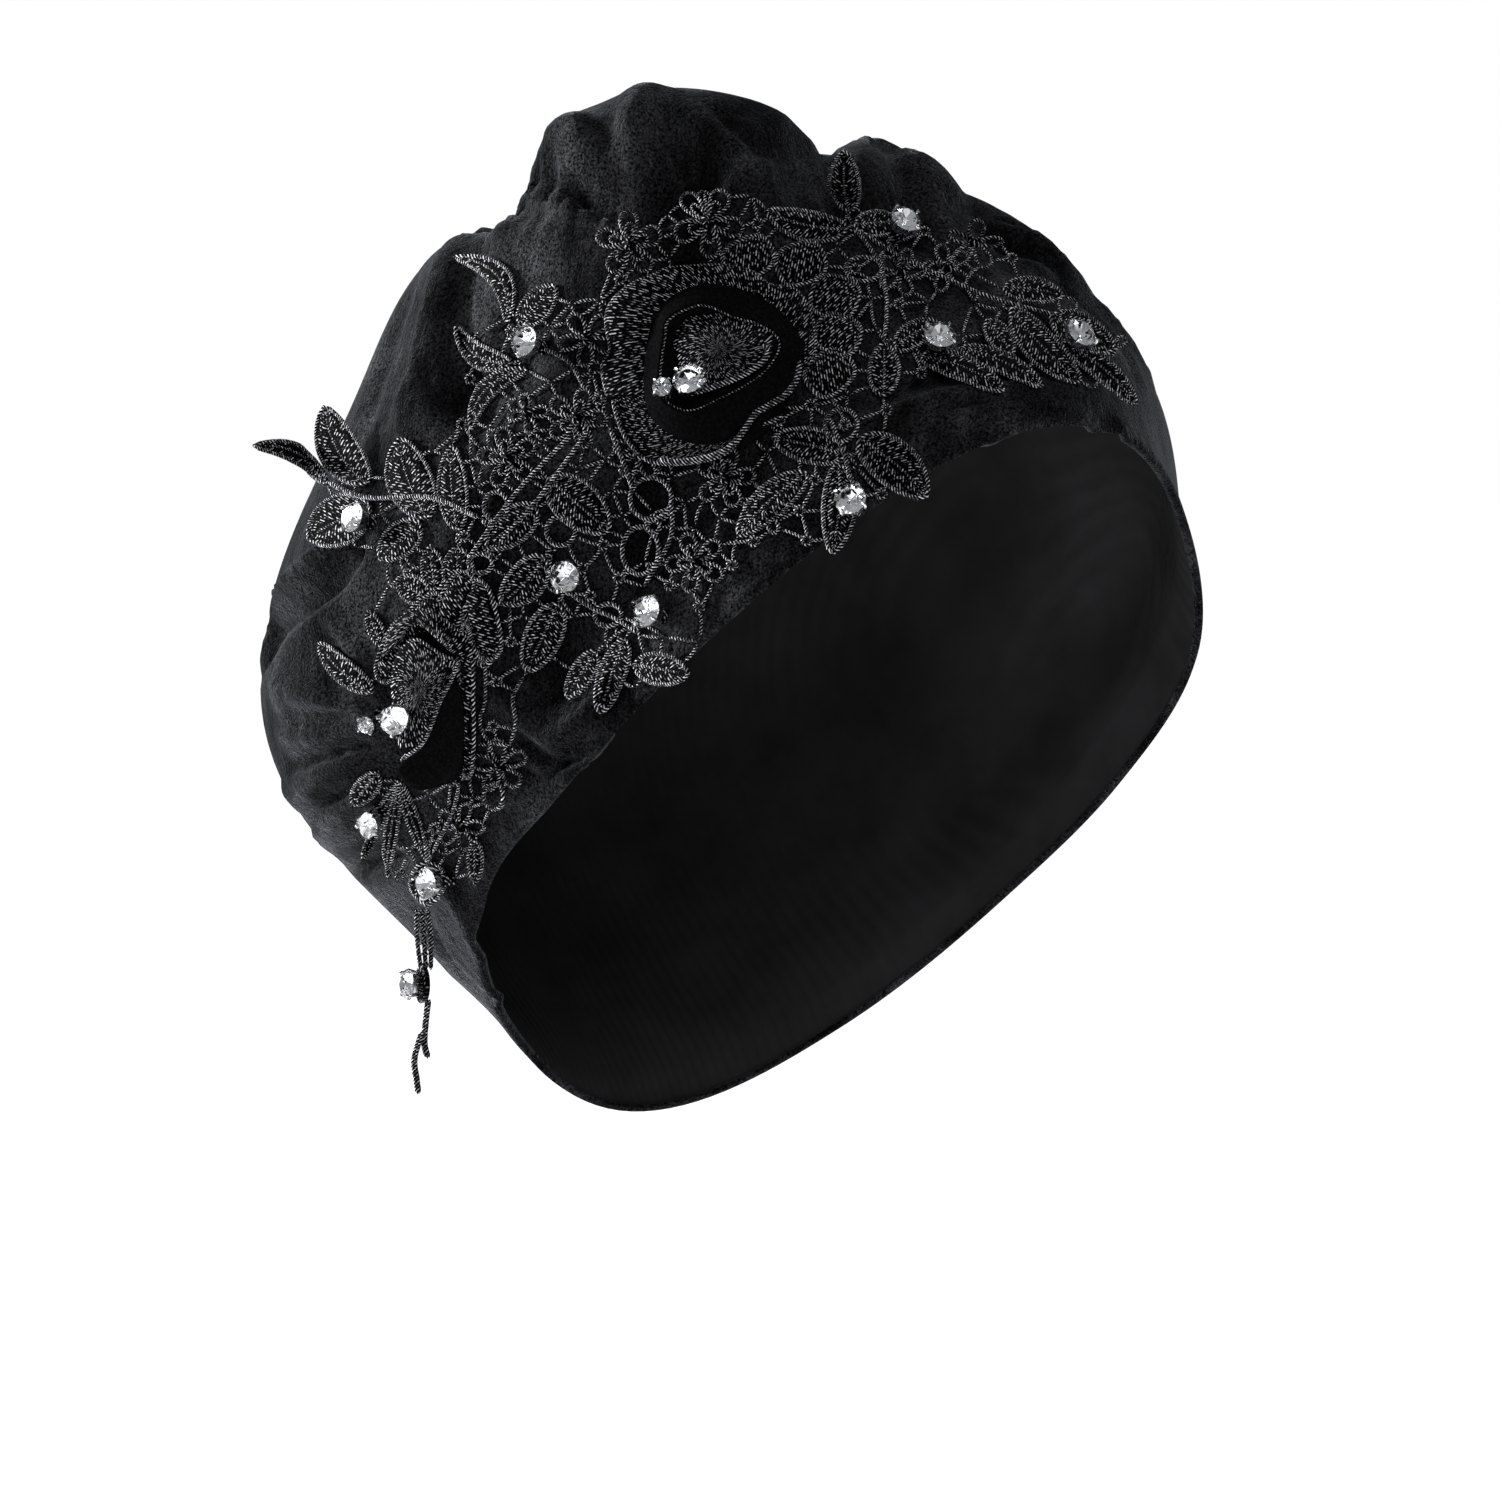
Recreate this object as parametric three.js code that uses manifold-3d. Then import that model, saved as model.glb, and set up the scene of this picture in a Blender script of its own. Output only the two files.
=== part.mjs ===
// Velvet turban cap with a beaded lace applique.
// Millimetres, +Z up. The origin is where the top of the wearer's head sits, and the wearer faces -Y.
import * as THREE from "three";
import { mergeVertices } from "three/addons/utils/BufferGeometryUtils.js";
import Module from "manifold-3d";

const wasm = await Module();
wasm.setup();

const { degToRad } = THREE.MathUtils;

// The wearer: an ellipsoid that the cap sits on, with its top at the origin.
const WEARER_SEMI_AXES = new THREE.Vector3(80, 100, 130);
const WEARER_CENTRE = new THREE.Vector3(0, 0, -130);

// The crown: a shell around a core point inside the hollow, on an axis tilted to the back.
const CROWN_TILT = degToRad(46);
const CROWN_CORE = new THREE.Vector3(0, 9, -120);
const CLOTH_THICKNESS = 2.4;
const HEM_BULGE = 1;
const STEPS_AROUND = 60;
const STEPS_UP = 16;
const FOLD_SCALE = 130;
const FOLD_STEPS = 12;

// A row for each 30 degrees around from the forehead by the wearer's right ear.
// rim: the angle of the hem above the rim plane. loft: how far the cloth stands off the wearer
// at each of LOFT_ANGLES above the rim plane.
const LOFT_ANGLES = [0, 12, 28, 44, 60, 76, 90];
const SECTIONS = [
  { at: "forehead", rim: -1, loft: [6, 8, 14, 34, 40, 47, 48] },
  { at: "right brow", rim: -4, loft: [5, 7, 20, 52, 50, 52, 48] },
  { at: "right temple", rim: -5, loft: [5, 9, 30, 46, 64, 56, 48] },
  { at: "right ear", rim: -2, loft: [5, 14, 42, 56, 61, 55, 48] },
  { at: "behind right ear", rim: 4, loft: [5, 21, 55, 65, 62, 53, 48] },
  { at: "right nape", rim: 2, loft: [9, 23, 46, 64, 60, 52, 48] },
  { at: "nape", rim: -4, loft: [14, 23, 41, 56, 55, 50, 48] },
  { at: "left nape", rim: -5, loft: [12, 20, 34, 46, 51, 49, 48] },
  { at: "behind left ear", rim: -6, loft: [12, 19, 27, 40, 45, 48, 48] },
  { at: "left ear", rim: -8, loft: [14, 20, 22, 33, 40, 47, 48] },
  { at: "left temple", rim: -8, loft: [16, 24, 22, 30, 37, 46, 48] },
  { at: "left brow", rim: -2, loft: [10, 21, 27, 31, 35, 45, 48] },
];

// A row for each main fold. path: three points as [around, up] in degrees. roll: 0 a soft swell,
// 1 a round roll. A height below 0 is a crease.
const FOLDS = [
  { name: "top puff", path: [[33, 44], [26, 41], [18, 37]], width: 66, height: 14, roll: 0.3 },
  { name: "crease under the puff", path: [[48, 60], [37, 41], [25, 37]], width: 20, height: -7, roll: 0 },
  { name: "front bump", path: [[5, 35], [356, 40], [356, 35]], width: 26, height: 7, roll: 0.5 },
  { name: "crease by the bump", path: [[2, 43], [7, 37], [14, 33]], width: 26, height: -8, roll: 0 },
  { name: "shoulder roll", path: [[356, 31], [346, 31], [343, 26]], width: 30, height: 6, roll: 0.5 },
  { name: "notch at the side", path: [[119, 41], [102, 37], [91, 37]], width: 22, height: -7, roll: 0 },
  { name: "notch by the nape", path: [[136, 22], [131, 19], [126, 16]], width: 18, height: -4, roll: 0 },
  { name: "roll over the brow", path: [[24, 5], [8, 4], [352, 4]], width: 20, height: 3, roll: 0 },
  { name: "swell at the side", path: [[58, 54], [64, 48], [73, 41]], width: 30, height: 3, roll: 0 },
  { name: "hollow beside the swell", path: [[42, 42], [48, 40], [58, 37]], width: 30, height: -3, roll: 0 },
  { name: "upper gather", path: [[104, 22], [107, 26], [112, 31]], width: 18, height: 3, roll: 0 },
  { name: "lower gather", path: [[111, 20], [117, 22], [126, 26]], width: 18, height: 3, roll: 0 },
  { name: "wave over the temple", path: [[88, 12], [83, 5], [74, 2]], width: 20, height: 3, roll: 0 },
];

// The trim is laid out flat on a chart that faces the wearer's right brow, in mm right (a) and up (b)
// of the origin, and is draped from there onto the crown.
const CHART_YAW = degToRad(40);
const CHART_PITCH = degToRad(3);
const CHART_MIDDLE = [-25, -116.75];
const CHART_DISTANCE = 1500;
const DRAPE_STEP = 2.5;
const DRAPE_LOW = [-160, -215];
const DRAPE_COUNT = [102, 110];
const DRAPE_SLOPE = 1.25;
const FREE_SLOPE = 0.9;
const BROW_ROOM = 5;
const TRIM_CLEARANCE = 1.4;
const LACE_THICKNESS = 1.5;
const LACE_EDGE = 15;
const LACE_GRAIN = 0.15;
const BAR_WIDTH = 1.3;
const BAR_REACH = 5;
const BAR_LEAST = 0.1;
const LEAF_BELLY = 0.45;
const LEAF_HOLDS = [0.05, 0.3, 0.55];
const FLOWER_NOTCH = 0.6;
const FLOWER_EYE = 0.3;
const SEWING_GAP = 0.6;

// Lace leaves: chart points of the base and the tip, and the width.
const LEAVES = [
  [-0.5, 17, -1.25, 34.5, 7.5],
  [0.5, 14, 13.5, 15, 6.5],
  [-1, 13, -21, 17.5, 7],
  [8.5, -29, 8.5, -15.5, 7.5],
  [11, -17, 22, -10.5, 6],
  [17.5, -19, 38, -27, 6],
  [27.5, -17, 47.5, -26, 5],
  [34, -10, 40.5, -18.5, 5.5],
  [38, -2, 53, -4, 6],
  [40, -7, 57, -25, 8],
  [52.5, -15.5, 71, -31, 5.5],
  [50, -9, 65.5, -17, 8.5],
  [-85.5, -10, -97.5, 7, 7.5],
  [-82, -10.5, -73, -1, 7],
  [-84, -20.5, -97.5, -10.5, 7.5],
  [-130, -50.5, -149.5, -41, 6],
  [-120, -50.5, -131, -31, 10.5],
  [-119.5, -55.5, -135, -64, 12],
  [-105, -59, -112, -39, 11],
  [-97.5, -62, -99, -41, 7],
  [-107, -60, -117, -69, 8],
  [-75, -49, -60, -62, 11],
  [-78, -56, -90.5, -66, 8.5],
  [-76, -68.5, -87, -80, 9],
  [-72.5, -80, -80.5, -97, 9],
  [-92.5, -77, -91, -96, 8.5],
  [-0.5, -43, -19, -39, 8.5],
  [-10.5, -48, -27.5, -63.5, 8],
  [2.5, -39, 19, -54, 11],
  [-2.5, -45.5, -4, -68, 8],
  [-53.5, -95.5, -39.5, -98, 7.5],
  [-55.5, -89, -62.5, -107, 6.5],
  [-63, -92, -70, -104, 6],
  [-119, -102, -132, -90, 5.5],
  [-103, -77, -104.5, -66, 5.5],
  [-97.5, -77, -97.5, -66, 7.5],
  [-105, -79, -112.5, -74, 6.5],
  [-105, -144, -105, -155.5, 9],
  [-93, -139, -93, -150, 3.5],
  [-112.5, -124, -105, -144, 3],
  [-112.5, -124, -116, -149, 3],
  [-112.5, -124, -122.5, -144, 3],
];

// Five-lobed lace flowers: chart point of the centre, and the radius.
const FLOWERS = [
  [-35.5, 15, 8.5],
  [-55, 9.5, 7.5],
  [31, 9.5, 7],
  [-65.5, -14, 7],
  [-68, -34, 7.5],
  [-85, -44, 7.5],
  [-52.5, -43, 6.5],
  [-38, -70, 7.5],
  [-31, -49, 7.5],
  [-87, -120.5, 7],
  [12.5, 2, 6],
  [24, 3, 6],
  [-97, -135.5, 6],
];

// Open lace rings: centre, outer radius and width of the band.
const RINGS = [
  [-49.5, -54, 5.5, 1.6],
  [-52, -67, 5, 1.6],
  [-2, -36, 4, 1.5],
  [-72, -62, 4, 1.4],
];

// Broad satin petals around the roses: centre, half length, half width and turn in degrees.
const SATIN_PETALS = [
  [-57, -19, 18, 7, 95],
  [-38, -2, 13, 7, 5],
  [-22, -10, 11, 7, -50],
  [-20, -28, 12, 7, 60],
  [-41, -40, 17, 7, 175],
  [-12.5, 5, 6, 5, 30],
  [-4, -4, 6, 5, -10],
  [-3, -13.5, 6, 5, -20],
  [-5, -23, 6, 5, 30],
  [-26, 5, 6.5, 5.5, 40],
  [-96, -103, 18, 3.5, 92],
  [-112, -96, 10, 4.5, 70],
];

// Raised rose layers: centre, half length, half width, turn in degrees, bottom and top.
const MAIN_ROSE_LAYERS = [
  { at: [-36, -18], half: [15, 13], turn: 0, from: 2.1, to: 3.4 },
  { at: [-33, -25], half: [15, 6], turn: 15, from: 3.2, to: 5.2 },
  { at: [-43, -14], half: [6, 11], turn: 0, from: 3.2, to: 6 },
  { at: [-31, -14], half: [11, 8], turn: -5, from: 3.2, to: 8 },
  { at: [-32, -14], half: [6, 4], turn: 20, from: 7.8, to: 10.4 },
];
const SIDE_ROSE_LAYERS = [
  { at: [-105, -101], half: [10, 16], turn: 0, from: 2.1, to: 3.4 },
  { at: [-100, -107], half: [6, 13], turn: -10, from: 3.2, to: 5.4 },
  { at: [-106, -95.5], half: [7.5, 9], turn: 0, from: 3.2, to: 8 },
  { at: [-107, -95], half: [4, 6], turn: 0, from: 7.8, to: 10.4 },
];

// Cuts: half width, half length to the back and to the tip, sharpness of the tip, and the claws' angle.
// Stones: chart point, cut, turn in degrees, and lift above the lace.
const ROUND = { width: 3.1, back: 3.1, tip: 3.1, sharp: 2, claw: 45 };
const CHIP = { width: 1.6, back: 1.6, tip: 1.6, sharp: 2, claw: 45 };
const PEAR = { width: 2.5, back: 2.5, tip: 3.6, sharp: 1.5, claw: 50 };
const MARQUISE = { width: 2, back: 4.6, tip: 4.6, sharp: 1.4, claw: 68 };
const STONES = [
  { at: [14, 16], cut: ROUND, turn: 0, lift: 0 },
  { at: [22.5, -13], cut: ROUND, turn: 10, lift: 0 },
  { at: [58, -12.5], cut: ROUND, turn: 20, lift: 0 },
  { at: [-81.5, -14.5], cut: ROUND, turn: 30, lift: 0 },
  { at: [0, -54], cut: ROUND, turn: 15, lift: 0 },
  { at: [-124.5, -58.5], cut: ROUND, turn: 0, lift: 0 },
  { at: [-71.5, -73.5], cut: ROUND, turn: 25, lift: 0 },
  { at: [-51, -82], cut: ROUND, turn: 5, lift: 0 },
  { at: [-106, -150], cut: ROUND, turn: 35, lift: 0.4 },
  { at: [-47, -26], cut: CHIP, turn: 0, lift: 3.9 },
  { at: [-40.5, -24], cut: PEAR, turn: 10, lift: 3.9 },
  { at: [-121, -110.5], cut: CHIP, turn: 0, lift: 0.1 },
  { at: [-114.3, -109.5], cut: PEAR, turn: 40, lift: 2.1 },
  { at: [-120.5, -135.5], cut: MARQUISE, turn: 82, lift: 0 },
];
const STONE_SIDES = 8;
const CULET_HEIGHT = 1.5;
const GIRDLE_HEIGHTS = [3.3, 3.7];
const TABLE_HEIGHT = 5;
const SHOWING_STEPS = 6;
const TABLE_SHARE = 0.56;
const SEAT_RADIUS = 3.4;
const FOOT_SHARE = 0.9;
const CUP_HEIGHT = 1;
const CLAW = { size: 0.7, top: 4.4, gap: 0.45, foot: 0.5 };

// The lace tail that hangs free below the side: a strip, a pad for one stone, and two twigs.
const TAIL_STRIP = { from: [-107, -156.4], to: [-106, -172], width: 3.6 };
const TAIL_PAD = { at: [-106, -175.3], radius: 4.6, thickness: 1.6, turn: degToRad(20) };
const TAIL_TWIGS = [
  [[-105.5, -179], [-106.5, -190.5], [-105.5, -194]],
  [[-107, -188], [-109, -194], [-108.5, -199], [-108, -203]],
];
const TWIG_WIDTH = 1.5;

const velvet = { color: 0x0a0a0c, roughness: 0.9, metalness: 0 };
const thread = { color: 0x121214, roughness: 0.6, metalness: 0 };
const silver = { color: 0xc9cacc, roughness: 0.25, metalness: 1 };
const glass = { color: 0xf1f4f7, roughness: 0.03, metalness: 0 };

const cap = new THREE.Group();

function addNode(name, geometry, look) {
  const mesh = new THREE.Mesh(geometry, new THREE.MeshStandardMaterial(look));
  mesh.name = name;
  mesh.geometry.computeVertexNormals();
  cap.add(mesh);
  return mesh;
}

// Solids for joining and cutting.
function solidOf(geometry) {
  const bare = geometry.clone();
  bare.deleteAttribute("normal");
  bare.deleteAttribute("uv");
  const merged = mergeVertices(bare, 1e-4);
  return new wasm.Manifold(new wasm.Mesh({
    numProp: 3,
    vertProperties: new Float32Array(merged.attributes.position.array),
    triVerts: new Uint32Array(merged.index.array),
  }));
}

function geometryOf(solid) {
  const mesh = solid.getMesh();
  const geometry = new THREE.BufferGeometry();
  geometry.setAttribute("position", new THREE.BufferAttribute(new Float32Array(mesh.vertProperties), 3));
  geometry.setIndex(new THREE.BufferAttribute(new Uint32Array(mesh.triVerts), 1));
  return geometry;
}

const joined = (solids) => solids.reduce((whole, next) => whole.add(next));

// The crown's axes: the tilted axis, towards the forehead, and towards the wearer's right.
const crownAxis = new THREE.Vector3(0, Math.sin(CROWN_TILT), Math.cos(CROWN_TILT));
const crownFront = new THREE.Vector3(0, -Math.cos(CROWN_TILT), Math.sin(CROWN_TILT));
const crownSide = new THREE.Vector3(-1, 0, 0);

function directionAt(around, up) {
  const flat = Math.cos(degToRad(up));
  return new THREE.Vector3()
    .addScaledVector(crownFront, flat * Math.cos(degToRad(around)))
    .addScaledVector(crownSide, flat * Math.sin(degToRad(around)))
    .addScaledVector(crownAxis, Math.sin(degToRad(up)));
}

// Distance from the core to the wearer along a direction.
function wearerRadius(direction) {
  const start = CROWN_CORE.clone().sub(WEARER_CENTRE).divide(WEARER_SEMI_AXES);
  const along = direction.clone().divide(WEARER_SEMI_AXES);
  const a = along.dot(along);
  const b = start.dot(along);
  const c = start.dot(start) - 1;
  return (-b + Math.sqrt(b * b - a * c)) / a;
}

// A smooth curve through four values, at t from the second to the third.
function smoothed(v0, v1, v2, v3, t) {
  const slope = v2 - v0;
  const bend = 2 * v0 - 5 * v1 + 4 * v2 - v3;
  const twist = -v0 + 3 * v1 - 3 * v2 + v3;
  return 0.5 * (2 * v1 + slope * t + bend * t * t + twist * t * t * t);
}

// A column of SECTIONS, smoothed around the crown.
function aroundSections(around, valueOf) {
  const place = ((around + 360) % 360) / (360 / SECTIONS.length);
  const first = Math.floor(place);
  const value = (step) => valueOf(SECTIONS[(first + step + SECTIONS.length) % SECTIONS.length]);
  return smoothed(value(-1), value(0), value(1), value(2), place - first);
}

const rimAngle = (around) => aroundSections(around, (section) => section.rim);

function loftAt(around, up) {
  const last = LOFT_ANGLES.length - 1;
  const above = LOFT_ANGLES.findIndex((angle) => angle > up);
  const first = above < 0 ? last - 1 : Math.max(above - 1, 0);
  const span = LOFT_ANGLES[first + 1] - LOFT_ANGLES[first];
  const t = THREE.MathUtils.clamp((up - LOFT_ANGLES[first]) / span, 0, 1);
  const column = (index) => {
    const kept = THREE.MathUtils.clamp(index, 0, last);
    return aroundSections(around, (section) => section.loft[kept]);
  };
  return smoothed(column(first - 1), column(first), column(first + 1), column(first + 2), t);
}

// Points along each fold, as directions from the core.
const foldPaths = FOLDS.map(({ path }) => {
  const [start, middle, end] = path.map(([around, up]) => directionAt(around, up));
  return Array.from({ length: FOLD_STEPS + 1 }, (_, step) => {
    const t = step / FOLD_STEPS;
    return new THREE.Vector3()
      .addScaledVector(start, (1 - t) * (1 - 2 * t))
      .addScaledVector(middle, 4 * t * (1 - t))
      .addScaledVector(end, t * (2 * t - 1))
      .normalize();
  });
});

function foldHeight(direction) {
  return FOLDS.reduce((sum, { width, height, roll }, index) => {
    const nearest = Math.min(...foldPaths[index].map((point) => direction.angleTo(point)));
    const share = (nearest * FOLD_SCALE) / (width / 2);
    if (share >= 1) return sum;
    const swell = (1 - share * share) ** 2;
    const round = Math.sqrt(1 - share * share);
    return sum + height * ((1 - roll) * swell + roll * round);
  }, 0);
}

function crownRadius(around, up) {
  const direction = directionAt(around, up);
  return wearerRadius(direction) + loftAt(around, up) + foldHeight(direction);
}

function crownPoint(around, up, offset) {
  const radius = crownRadius(around, up) + offset;
  return directionAt(around, up).multiplyScalar(radius).add(CROWN_CORE);
}

// The crown: an outer wall from the hem to the apex, an inner wall back, and a rounded hem between.
function crownGeometry() {
  const points = [];
  const rings = [];
  const addRing = (upOf, offset) => {
    rings.push(points.length);
    for (let step = 0; step < STEPS_AROUND; step++) {
      const around = (360 * step) / STEPS_AROUND;
      points.push(crownPoint(around, upOf(around), offset));
    }
  };
  const risen = (share) => (around) => THREE.MathUtils.lerp(rimAngle(around), 90, share);
  for (let row = 0; row < STEPS_UP; row++) addRing(risen(row / STEPS_UP), 0);
  const outerApex = points.push(crownPoint(0, 90, 0)) - 1;
  const outerCount = rings.length;
  for (let row = STEPS_UP - 1; row >= 0; row--) addRing(risen(row / STEPS_UP), -CLOTH_THICKNESS);
  const innerApex = points.push(crownPoint(0, 90, -CLOTH_THICKNESS)) - 1;
  addRing((around) => rimAngle(around) - HEM_BULGE, -CLOTH_THICKNESS / 2);

  const faces = [];
  const band = (low, high) => {
    for (let step = 0; step < STEPS_AROUND; step++) {
      const next = (step + 1) % STEPS_AROUND;
      faces.push(low + step, high + step, high + next, low + step, high + next, low + next);
    }
  };
  const fan = (ring, apex, flip) => {
    for (let step = 0; step < STEPS_AROUND; step++) {
      const next = (step + 1) % STEPS_AROUND;
      faces.push(...(flip ? [ring + next, apex, ring + step] : [ring + step, apex, ring + next]));
    }
  };
  const outer = rings.slice(0, outerCount);
  const inner = rings.slice(outerCount, 2 * outerCount);
  const hem = rings[2 * outerCount];
  for (let row = 0; row + 1 < outer.length; row++) band(outer[row], outer[row + 1]);
  fan(outer[outer.length - 1], outerApex, false);
  fan(inner[0], innerApex, true);
  for (let row = 0; row + 1 < inner.length; row++) band(inner[row], inner[row + 1]);
  band(inner[inner.length - 1], hem);
  band(hem, outer[0]);

  const geometry = new THREE.BufferGeometry().setFromPoints(points);
  geometry.setIndex(faces);
  return geometry;
}

const crown = addNode("crown", crownGeometry(), velvet);

// The chart's axes, and the point that it is draped from.
const chartRight = new THREE.Vector3(Math.cos(CHART_YAW), -Math.sin(CHART_YAW), 0);
const chartOut = new THREE.Vector3(
  -Math.sin(CHART_YAW) * Math.cos(CHART_PITCH),
  -Math.cos(CHART_YAW) * Math.cos(CHART_PITCH),
  Math.sin(CHART_PITCH),
);
const chartUp = new THREE.Vector3().crossVectors(chartOut, chartRight);
const onChart = (a, b) => new THREE.Vector3().addScaledVector(chartRight, a).addScaledVector(chartUp, b);
const drapeFrom = onChart(...CHART_MIDDLE).addScaledVector(chartOut, CHART_DISTANCE);
const drapeDirection = (a, b) => onChart(a, b).sub(drapeFrom).normalize();

// Distance from the draping point to the crown or the brow for a grid of chart points. The slope
// limits carry the lace over creases, and its free tips smoothly past the crown's edge.
function drapeDistances() {
  const brow = new THREE.Mesh(new THREE.SphereGeometry(1, 64, 48));
  brow.scale.copy(WEARER_SEMI_AXES).addScalar(BROW_ROOM);
  brow.position.copy(WEARER_CENTRE);
  brow.updateMatrixWorld();
  const raycaster = new THREE.Raycaster();
  const [columns, rows] = DRAPE_COUNT;
  const farAway = 2 * CHART_DISTANCE;
  const distances = [];
  for (let row = 0; row < rows; row++) {
    for (let column = 0; column < columns; column++) {
      const a = DRAPE_LOW[0] + column * DRAPE_STEP;
      const b = DRAPE_LOW[1] + row * DRAPE_STEP;
      raycaster.set(drapeFrom, drapeDirection(a, b));
      const hits = raycaster.intersectObjects([crown, brow]);
      distances.push(hits.length > 0 ? hits[0].distance : farAway);
    }
  }
  const slopes = distances.map((distance) => (distance < farAway ? DRAPE_SLOPE : FREE_SLOPE));
  const reach = [[1, 0], [0, 1], [1, 1], [-1, 1]];
  const relax = (row, column) => {
    const here = row * columns + column;
    for (const [right, up] of reach) {
      for (const sign of [1, -1]) {
        const toRow = row + sign * up;
        const toColumn = column + sign * right;
        if (toRow < 0 || toRow >= rows || toColumn < 0 || toColumn >= columns) continue;
        const rise = slopes[here] * DRAPE_STEP * Math.hypot(right, up);
        distances[here] = Math.min(distances[here], distances[toRow * columns + toColumn] + rise);
      }
    }
  };
  for (let row = 0; row < rows; row++) {
    for (let column = 0; column < columns; column++) relax(row, column);
  }
  for (let row = rows - 1; row >= 0; row--) {
    for (let column = columns - 1; column >= 0; column--) relax(row, column);
  }
  return distances;
}

const distances = drapeDistances();

function drapeDistance(a, b) {
  const [columns, rows] = DRAPE_COUNT;
  const x = THREE.MathUtils.clamp((a - DRAPE_LOW[0]) / DRAPE_STEP, 0, columns - 1.001);
  const y = THREE.MathUtils.clamp((b - DRAPE_LOW[1]) / DRAPE_STEP, 0, rows - 1.001);
  const column = Math.floor(x);
  const row = Math.floor(y);
  const value = (right, up) => distances[(row + up) * columns + column + right];
  const low = THREE.MathUtils.lerp(value(0, 0), value(1, 0), x - column);
  const high = THREE.MathUtils.lerp(value(0, 1), value(1, 1), x - column);
  return THREE.MathUtils.lerp(low, high, y - row);
}

// A chart point on the draping surface, and the same point of the trim at a height above its underside.
const underDrape = (a, b) => drapeDirection(a, b).multiplyScalar(drapeDistance(a, b)).add(drapeFrom);

function drapeNormal(a, b) {
  const right = underDrape(a + DRAPE_STEP, b).sub(underDrape(a - DRAPE_STEP, b));
  const up = underDrape(a, b + DRAPE_STEP).sub(underDrape(a, b - DRAPE_STEP));
  return right.cross(up).normalize();
}

function draped(a, b, height) {
  return underDrape(a, b).addScaledVector(drapeNormal(a, b), TRIM_CLEARANCE + height);
}

// Every point of a flat solid moved by a placing function of (a, b, height).
function placed(solid, place) {
  const geometry = geometryOf(solid);
  const position = geometry.attributes.position;
  for (let index = 0; index < position.count; index++) {
    const point = place(position.getX(index), position.getY(index), position.getZ(index));
    position.setXYZ(index, point.x, point.y, point.z);
  }
  return geometry;
}

// Flat chart shapes, as solids from one height to another.
function flatSolid(shape, from, to, curveSegments) {
  const options = { depth: to - from, bevelEnabled: false, curveSegments };
  return solidOf(new THREE.ExtrudeGeometry(shape, options).translate(0, 0, from));
}

const laceSolid = (shape, curveSegments = 3) => flatSolid(shape, 0, LACE_THICKNESS, curveSegments);

function leafShape([baseA, baseB, tipA, tipB, width]) {
  const base = new THREE.Vector2(baseA, baseB);
  const tip = new THREE.Vector2(tipA, tipB);
  const across = tip.clone().sub(base).rotateAround(new THREE.Vector2(), Math.PI / 2).setLength(width);
  const belly = base.clone().lerp(tip, LEAF_BELLY);
  const shape = new THREE.Shape();
  shape.moveTo(base.x, base.y);
  shape.quadraticCurveTo(belly.x - across.x, belly.y - across.y, tip.x, tip.y);
  shape.quadraticCurveTo(belly.x + across.x, belly.y + across.y, base.x, base.y);
  return shape;
}

function polygonShape(a, b, radiusAt, sides, turn = 0) {
  const shape = new THREE.Shape();
  for (let side = 0; side < sides; side++) {
    const angle = turn + (2 * Math.PI * side) / sides;
    const radius = radiusAt(side);
    const point = [a + radius * Math.cos(angle), b + radius * Math.sin(angle)];
    if (side === 0) shape.moveTo(...point);
    else shape.lineTo(...point);
  }
  shape.closePath();
  return shape;
}

function flowerShape([a, b, radius]) {
  const shape = polygonShape(a, b, (side) => radius * (side % 2 ? FLOWER_NOTCH : 1), 10, Math.PI / 2);
  shape.holes.push(polygonShape(a, b, () => radius * FLOWER_EYE, 5, -Math.PI / 2));
  return shape;
}

function ringShape([a, b, radius, band]) {
  const shape = polygonShape(a, b, () => radius, 8);
  shape.holes.push(polygonShape(a, b, () => radius - band, 8));
  return shape;
}

function ovalShape(a, b, halfLength, halfWidth, turn) {
  const shape = new THREE.Shape();
  shape.absellipse(a, b, halfLength, halfWidth, 0, 2 * Math.PI, false, degToRad(turn));
  return shape;
}

function barShape(from, to, width) {
  const start = new THREE.Vector2(...from);
  const end = new THREE.Vector2(...to);
  const across = end.clone().sub(start).rotateAround(new THREE.Vector2(), Math.PI / 2).setLength(width / 2);
  const corners = [
    start.clone().sub(across), end.clone().sub(across), end.clone().add(across), start.clone().add(across),
  ];
  return new THREE.Shape(corners);
}

// Points where bars may take hold of a motif.
const mixed = (from, to, share) => [
  THREE.MathUtils.lerp(from[0], to[0], share), THREE.MathUtils.lerp(from[1], to[1], share),
];
const leafHolds = ([baseA, baseB, tipA, tipB]) => {
  return LEAF_HOLDS.map((share) => mixed([baseA, baseB], [tipA, tipB], share));
};
function roundHolds(a, b, halfLength, halfWidth, turn, count) {
  return Array.from({ length: count }, (_, step) => {
    const angle = (2 * Math.PI * step) / count;
    const point = new THREE.Vector2(halfLength * Math.cos(angle), halfWidth * Math.sin(angle));
    point.rotateAround(new THREE.Vector2(), degToRad(turn));
    return [a + point.x, b + point.y];
  });
}

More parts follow.
